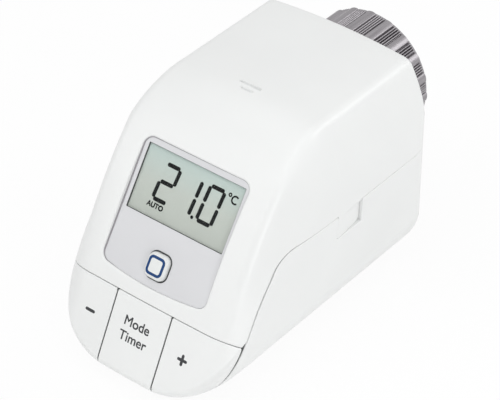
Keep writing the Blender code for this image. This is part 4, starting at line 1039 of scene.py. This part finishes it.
def makeKeyGapShade():
    s, lean = keyGapShadeShape, seamShape["footLean"]
    foot = facePoint(0.0, bodyShape["keyLineV"], -seamShape["depth"])
    down = np.array([0.0, -math.sin(lean), -math.cos(lean)])
    across = np.array([0.0, -math.cos(lean), math.sin(lean)])
    sideways = np.array([1.0, 0.0, 0.0])

    def castOut(start, way):
        spot, out, *_ = skinTree.ray_cast(Vector(start), Vector(way))
        return np.array(spot) - s["drop"] * np.array(out), np.array(out)

    def inSplit(x, turn):
        return castOut(foot + x * sideways, math.cos(turn) * faceOut - math.sin(turn) * faceUp)

    def inFoot(shift, turn):
        return castOut(foot + shift * across, math.cos(turn) * sideways + math.sin(turn) * down)

    half = seamShape["keySplit"] / 2 - s["clear"]
    turns = np.linspace(*s["splitTurns"], s["steps"] + 1)
    splits = []
    for x in (-keySplitX, keySplitX):
        splits.append(ribbon([(x - half, t) for t in turns], [(x + half, t) for t in turns]))
    layPrint("keySplitPaintedShade", *gather(*splits), inSplit, s["half"], darkRubberAndPaintedShade, "head", "rubber")
    near = s["clear"] - seamShape["frontGap"] / 2
    wide = seamShape["keyGap"] - 2 * s["clear"]
    turns = np.linspace(*s["footTurns"], s["steps"] + 1)
    deep = [max((inFoot(near, t)[0] - foot) @ down, 0.0) for t in turns]
    # a pressed key swings this way
    far = [near + max(wide - s["pressRoom"] * d, s["leastWide"]) for d in deep]
    under = ribbon([(near, t) for t in turns], list(zip(far, turns)))
    layPrint("keyFootPaintedShade", *under, inFoot, s["half"], darkRubberAndPaintedShade, "head", "rubber")


makeKeyGapShade()
print("key strips made")

# Signs and words on the keys
signShape = {
    "signX": 15.0, "signV": -30.2, "proud": 0.012,
    "minusArm": 1.17, "minusStroke": 0.82, "plusArm": 1.12, "plusStroke": 0.78,
    "words": (("Mode", 3.5, -0.25, -28.95), ("Timer", 3.5, -0.3, -32.9)), "bold": 0.075,
}


def makeSigns():
    s = signShape
    x, v, arm = s["signX"], s["signV"], s["minusArm"]
    minus = roundBar((-x - arm, v), (-x + arm, v), s["minusStroke"])
    layPrint("minusSign", *minus, onSkin, s["proud"], legendInk, "minus", "black_plastic")
    arm, half = s["plusArm"], s["plusStroke"] / 2
    arms = []
    for k in range(4):  # one cross outline, an arm at a time
        cos, sin = math.cos(k * math.pi / 2), math.sin(k * math.pi / 2)
        cap = bendArc(arm, 0.0, half, -math.pi / 2, math.pi / 2, 8) + [(half, half)]
        arms += [(x + p * cos - q * sin, v + p * sin + q * cos) for p, q in cap]
    cells = [list(range(len(arms)))]
    layPrint("plusSign", arms, cells, onSkin, s["proud"], legendInk, "plus", "black_plastic")
    words = gather(*[lettering(*w, s["bold"]) for w in s["words"]])
    layPrint("centreWords", *words, onSkin, s["proud"], legendInk, "centre", "black_plastic")


makeSigns()
print("key signs made")


# Union nut: broad lobes with fine ribs between, threaded inside
nutShape = {
    "startY": 35.8, "endY": 51.0, "axisZ": 42.75, "lobes": 19, "firstTurn": 73.0, "perLobe": 96,
    "tipR": 18.0, "lobeHalf": 0.27, "lobeFlank": 0.07, "lobeCrown": 0.35,
    "ribR": 17.75, "grooveR": 17.05, "ribs": 4, "ribRound": 0.7,
    "edge": 0.5, "noseY": 0.9, "nose": 1.3, "lip": 0.2, "lipOutR": 17.3,
    "lipR": 13.1, "lipEnd": 38.5, "lipEdge": 0.3, "boreR": 14.2, "mouthR": 15.1, "mouthDeep": 1.3,
    "threadDeep": 0.62, "pitch": 1.5, "threadRows": 81, "boreStep": 4,
}


def nutSkin(share, along):
    n = nutShape
    half, ground = n["lobeHalf"], n["grooveR"]
    lobe = smooth((half - abs(share)) / n["lobeFlank"])
    tip = n["tipR"] - n["lobeCrown"] * (share / half) ** 2
    if abs(share) > half:  # round ribs with sharp grooves between
        f = ((share % 1.0) - half) / (1 - 2 * half) * n["ribs"]
        ground += (n["ribR"] - n["grooveR"]) * abs(math.sin(math.pi * f)) ** n["ribRound"]
    return ground + (tip - ground) * lobe * along if lobe > 0 else ground


# radius of the thread, which opens towards the mouth
def nutThread(y, turn):
    n = nutShape
    wave = abs(((y / n["pitch"] - turn / (2 * math.pi)) % 1.0) * 2 - 1)
    fade = float(smooth((y - n["lipEnd"]) / n["pitch"]))
    cut = n["threadDeep"] * fade * min(max(wave * 1.5 - 0.25, 0.0), 1.0)
    return n["boreR"] + cut + max(0.0, y - n["endY"] + n["mouthDeep"]) * 0.75 * (1 - cut / 0.9)


def makeNut():
    n = nutShape
    start, end, axisZ = n["startY"], n["endY"], n["axisZ"]
    count = n["lobes"] * n["perLobe"]
    shares = [((k % n["perLobe"]) / n["perLobe"] + 0.5) % 1.0 - 0.5 for k in range(count)]
    turns = [math.radians(n["firstTurn"]) + 2 * math.pi * k / count for k in range(count)]
    edge, nose, lip = n["edge"], n["nose"], n["lip"]
    quarter = [math.pi / 6 * k for k in range(4)]
    rows = [(start + edge * (1 - math.cos(t)), -edge * (1 - math.sin(t)), 0.0, 0.0) for t in quarter]
    for f in (0.0, 0.1, 0.3, 0.55, 0.8, 1.0):
        rows.append((start + n["noseY"] + nose * f, 0.0, math.sqrt(1 - (1 - f) ** 2), 0.0))
    ribStart, ribEnd = start + n["noseY"] + nose, end - edge - 2 * lip
    rows += [(ribStart + (ribEnd - ribStart) * f, 0.0, 1.0, 0.0) for f in (*evenShares(8), 1.0)]
    rows += [(ribEnd + lip * f, 0.0, 1.0, f) for f in (0.35, 0.7, 1.0)]
    rows += [(end - edge * (1 - math.sin(t)), -edge * (1 - math.cos(t)), 1.0, 1.0) for t in quarter]
    outer = []
    for y, pull, along, even in rows:
        for turn, share in zip(turns, shares):
            r = nutSkin(share, along)
            r += (n["lipOutR"] - r) * even + pull
            outer.append((r * math.cos(turn), y, axisZ + r * math.sin(turn)))
    # a row with no radius follows the thread
    inner = [(end, n["mouthR"] + edge), (end - 0.15, n["mouthR"] + 0.1)]
    inner += [(y, None) for y in np.linspace(end - edge, n["lipEnd"], n["threadRows"])]
    bevel = n["lipEdge"]
    inner += [(n["lipEnd"], n["lipR"] + bevel), (n["lipEnd"] - bevel, n["lipR"]),
              (start + bevel, n["lipR"]), (start, n["lipR"] + bevel)]
    bore = []
    for y, radius in inner:
        for turn in turns[::n["boreStep"]]:
            r = radius or nutThread(y, turn)
            bore.append((r * math.cos(turn), y, axisZ + r * math.sin(turn)))
    points, step = outer + bore, n["boreStep"]
    small = count // step
    lastOuter, firstBore, lastBore = len(outer) - count, len(outer), len(points) - small
    faces = ringFaces(0, len(rows), count) + ringFaces(firstBore, len(inner), small)
    for k in range(small):  # end faces between the ribs and the bore
        m = (k + 1) % small
        ring = [(step * k + q) % count for q in range(step + 1)]
        faces.append((*[lastOuter + i for i in ring], firstBore + m, firstBore + k))
        faces.append((*ring[::-1], lastBore + k, lastBore + m))
    cells = closeMesh(points, faces)
    meshPiece("unionNut", points, cells, nutSatin, "nut", ("union_nut",), sharp=38)


makeNut()
print("union nut made")

# Contact springs, wound finer than the solids they stand for
springShape = {"wire": 0.35, "turns": 2.5, "wide": 4.3, "taper": 1.4, "perTurn": 36, "sides": 12}


def makeSpring(name, node, way):
    s = springShape
    low, high = [np.array(corner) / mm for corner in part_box(node)]
    r, sides = s["wide"], s["sides"]
    x = high[0] - r - s["wire"]
    zMid = (low[2] + high[2]) / 2
    start, end = (low[1], high[1]) if way > 0 else (high[1], low[1])
    start, end = start + way * s["wire"], end - way * s["wire"]
    count = int(s["turns"] * s["perTurn"])
    path = []
    for i in range(count + 1):
        f = i / count
        a, wide = 2 * math.pi * s["turns"] * f, r - s["taper"] * f
        path.append(np.array([x + wide * math.cos(a), start + (end - start) * f, zMid + wide * math.sin(a)]))
    points = []
    for i, spot in enumerate(path):
        along = path[min(i + 1, count)] - path[max(i - 1, 0)]
        along /= np.linalg.norm(along)
        out = spot - np.array([x, spot[1], zMid])
        out -= along * (out @ along)
        out /= np.linalg.norm(out)
        side = np.cross(along, out)
        for k in range(sides):
            t = 2 * math.pi * k / sides
            points.append(spot + s["wire"] * (math.cos(t) * out + math.sin(t) * side))
    faces = ringFaces(0, count + 1, sides)
    faces += [tuple(range(sides - 1, -1, -1)), tuple(range(count * sides, (count + 1) * sides))]
    meshPiece(name, points, faces, springNickel, "head", (node,))


# Looks of the pieces that stay as solids
springNickel = metalLook("springNickel", (0.66, 0.64, 0.60), 0.24, streak=(500.0, 500.0, 500.0))
frameGrey = mouldedLook("frameGrey", (0.34, 0.35, 0.36), 0.5, grain=1800.0)
blackPlastic = mouldedLook("blackPlastic", (0.022, 0.022, 0.024), 0.45, grain=1600.0, vary=0.006)
steelBright = metalLook("steelBright", (0.60, 0.60, 0.61), 0.26)
tinCan = metalLook("tinCan", (0.62, 0.62, 0.60), 0.32, streak=(240.0, 240.0, 240.0))
brassYellow = metalLook("brassYellow", (0.66, 0.48, 0.20), 0.28)
boardGreen = mouldedLook("boardGreen", (0.02, 0.13, 0.06), 0.38, grain=900.0, vary=0.012)
gearWhite = mouldedLook("gearWhite", (0.74, 0.73, 0.68), 0.4, grain=1500.0)
cellWrap = cellLook("cellWrap", (0.025, 0.028, 0.032), (0.55, 0.36, 0.16), 8.0)
nodeLooks = {
    whiteShell: ("light_box",), darkRubberAndPaintedShade: ("contact_strip",), boardGreen: ("circuit_board",),
    steelBright: (
        "key_hinge_pin", "board_screw_left", "board_screw_right", "gear_screw_left", "gear_screw_right",
        "chassis_screw_left_front", "chassis_screw_left_rear", "chassis_screw_right_front",
        "chassis_screw_right_rear", "retaining_ring", "idler_axle", "pusher"),
    frameGrey: ("hinge_post_left", "hinge_post_right", "gear_plate", "chassis"),
    blackPlastic: (
        "switch_minus", "switch_centre", "switch_plus", "switch_system", "motor_cap", "valve_collar"),
    tinCan: ("radio_module", "motor"), gearWhite: ("spindle_gear", "idler_gear"),
    brassYellow: ("motor_pinion",), cellWrap: ("cell_left", "cell_right"),
    springNickel: ("contact_bridge", "contact_minus", "contact_plus"),
}
for look, nodeNames in nodeLooks.items():
    for nodeName in nodeNames:
        node = frame["nodes"][nodeName]
        node.data.materials.clear()
        node.data.materials.append(look)
makeSpring("springFront", "spring_front", 1)
makeSpring("springRear", "spring_rear", -1)
print("solids dressed, springs wound")

# Camera, light and floor
cameraShape = {
    "place": (293.82, -363.81, 391.63), "azimuth": 39.0, "elevation": 37.77, "lens": 167.47, "sensor": 36.0,
}
az, el = math.radians(cameraShape["azimuth"]), math.radians(cameraShape["elevation"])
backward = Vector((math.sin(az) * math.cos(el), -math.cos(az) * math.cos(el), math.sin(el)))
lensData = bpy.data.cameras.new("viewCamera")
lensData.lens = cameraShape["lens"]
lensData.sensor_width = cameraShape["sensor"]
lensData.clip_start = 0.01
camera = bpy.data.objects.new("viewCamera", lensData)
camera.location = Vector(cameraShape["place"]) * mm
camera.rotation_mode = "QUATERNION"
camera.rotation_quaternion = backward.to_track_quat("Z", "Y")
bpy.context.scene.collection.objects.link(camera)
bpy.context.scene.camera = camera


def softbox(name, place, aim, size, power):
    data = bpy.data.lights.new(name, "AREA")
    data.shape = "RECTANGLE"
    data.size, data.size_y = size
    data.energy = power
    lamp = bpy.data.objects.new(name, data)
    lamp.location = place
    lamp.rotation_mode = "QUATERNION"
    lamp.rotation_quaternion = (Vector(place) - Vector(aim)).to_track_quat("Z", "Y")
    bpy.context.scene.collection.objects.link(lamp)


centre = (0.0, 0.0, 0.035)
softbox("topSoftbox", (0.0, -0.1, 0.75), centre, (0.9, 0.9), 2.5)
softbox("frontSoftbox", (-0.32, -0.66, 0.50), centre, (0.6, 0.6), 1.48)
softbox("rightSoftbox", (0.68, -0.40, 0.15), centre, (0.22, 0.4), 1.5)
softbox("backSoftbox", (0.49, 0.49, 0.43), centre, (0.3, 0.3), 1.2)


# camera, gloss and glass all see the same pale backdrop
def seenRays(tree):
    path = tree.nodes.new("ShaderNodeLightPath")
    seen = path.outputs["Is Camera Ray"]
    for ray in ("Is Glossy Ray", "Is Transmission Ray"):
        step = tree.nodes.new("ShaderNodeMath")
        step.operation = "MAXIMUM"
        tree.links.new(seen, step.inputs[0])
        tree.links.new(path.outputs[ray], step.inputs[1])
        seen = step.outputs[0]
    return seen


def backdropLook(name, showShare):
    look = bpy.data.materials.new(name)
    look.use_nodes = True
    tree = look.node_tree
    tree.nodes.clear()
    out = tree.nodes.new("ShaderNodeOutputMaterial")
    mat = tree.nodes.new("ShaderNodeBsdfDiffuse")
    mat.inputs["Color"].default_value = (0.9, 0.9, 0.9, 1.0)
    glow = tree.nodes.new("ShaderNodeEmission")
    part = tree.nodes.new("ShaderNodeMath")
    part.operation = "MULTIPLY"
    part.inputs[1].default_value = showShare
    tree.links.new(seenRays(tree), part.inputs[0])
    mix = tree.nodes.new("ShaderNodeMixShader")
    tree.links.new(part.outputs[0], mix.inputs["Fac"])
    tree.links.new(mat.outputs[0], mix.inputs[1])
    tree.links.new(glow.outputs[0], mix.inputs[2])
    tree.links.new(mix.outputs[0], out.inputs["Surface"])
    return look


floorZ = -0.0002  # just under the part
floorMesh = bpy.data.meshes.new("studioFloor")
floorCorners = [(x, y, floorZ) for x, y in ((-4, -4), (4, -4), (4, 4), (-4, 4))]
floorMesh.from_pydata(floorCorners, [], [(0, 1, 2, 3)])
floorMesh.materials.append(backdropLook("studioPaper", 0.93))
floor = bpy.data.objects.new("studioFloor", floorMesh)
bpy.context.scene.collection.objects.link(floor)

world = bpy.data.worlds.new("studioWorld")
bpy.context.scene.world = world
world.use_nodes = True
tree = world.node_tree
air = tree.nodes["Background"]
air.inputs["Color"].default_value = (1.0, 1.0, 1.0, 1.0)
air.inputs["Strength"].default_value = 0.5
shown = tree.nodes.new("ShaderNodeBackground")
shown.inputs["Strength"].default_value = 1.0
pick = tree.nodes.new("ShaderNodeMixShader")
tree.links.new(seenRays(tree), pick.inputs["Fac"])
tree.links.new(air.outputs[0], pick.inputs[1])
tree.links.new(shown.outputs[0], pick.inputs[2])
tree.links.new(pick.outputs[0], tree.nodes["World Output"].inputs["Surface"])
bpy.context.scene.view_settings.view_transform = "Standard"
print("camera, light and floor set")
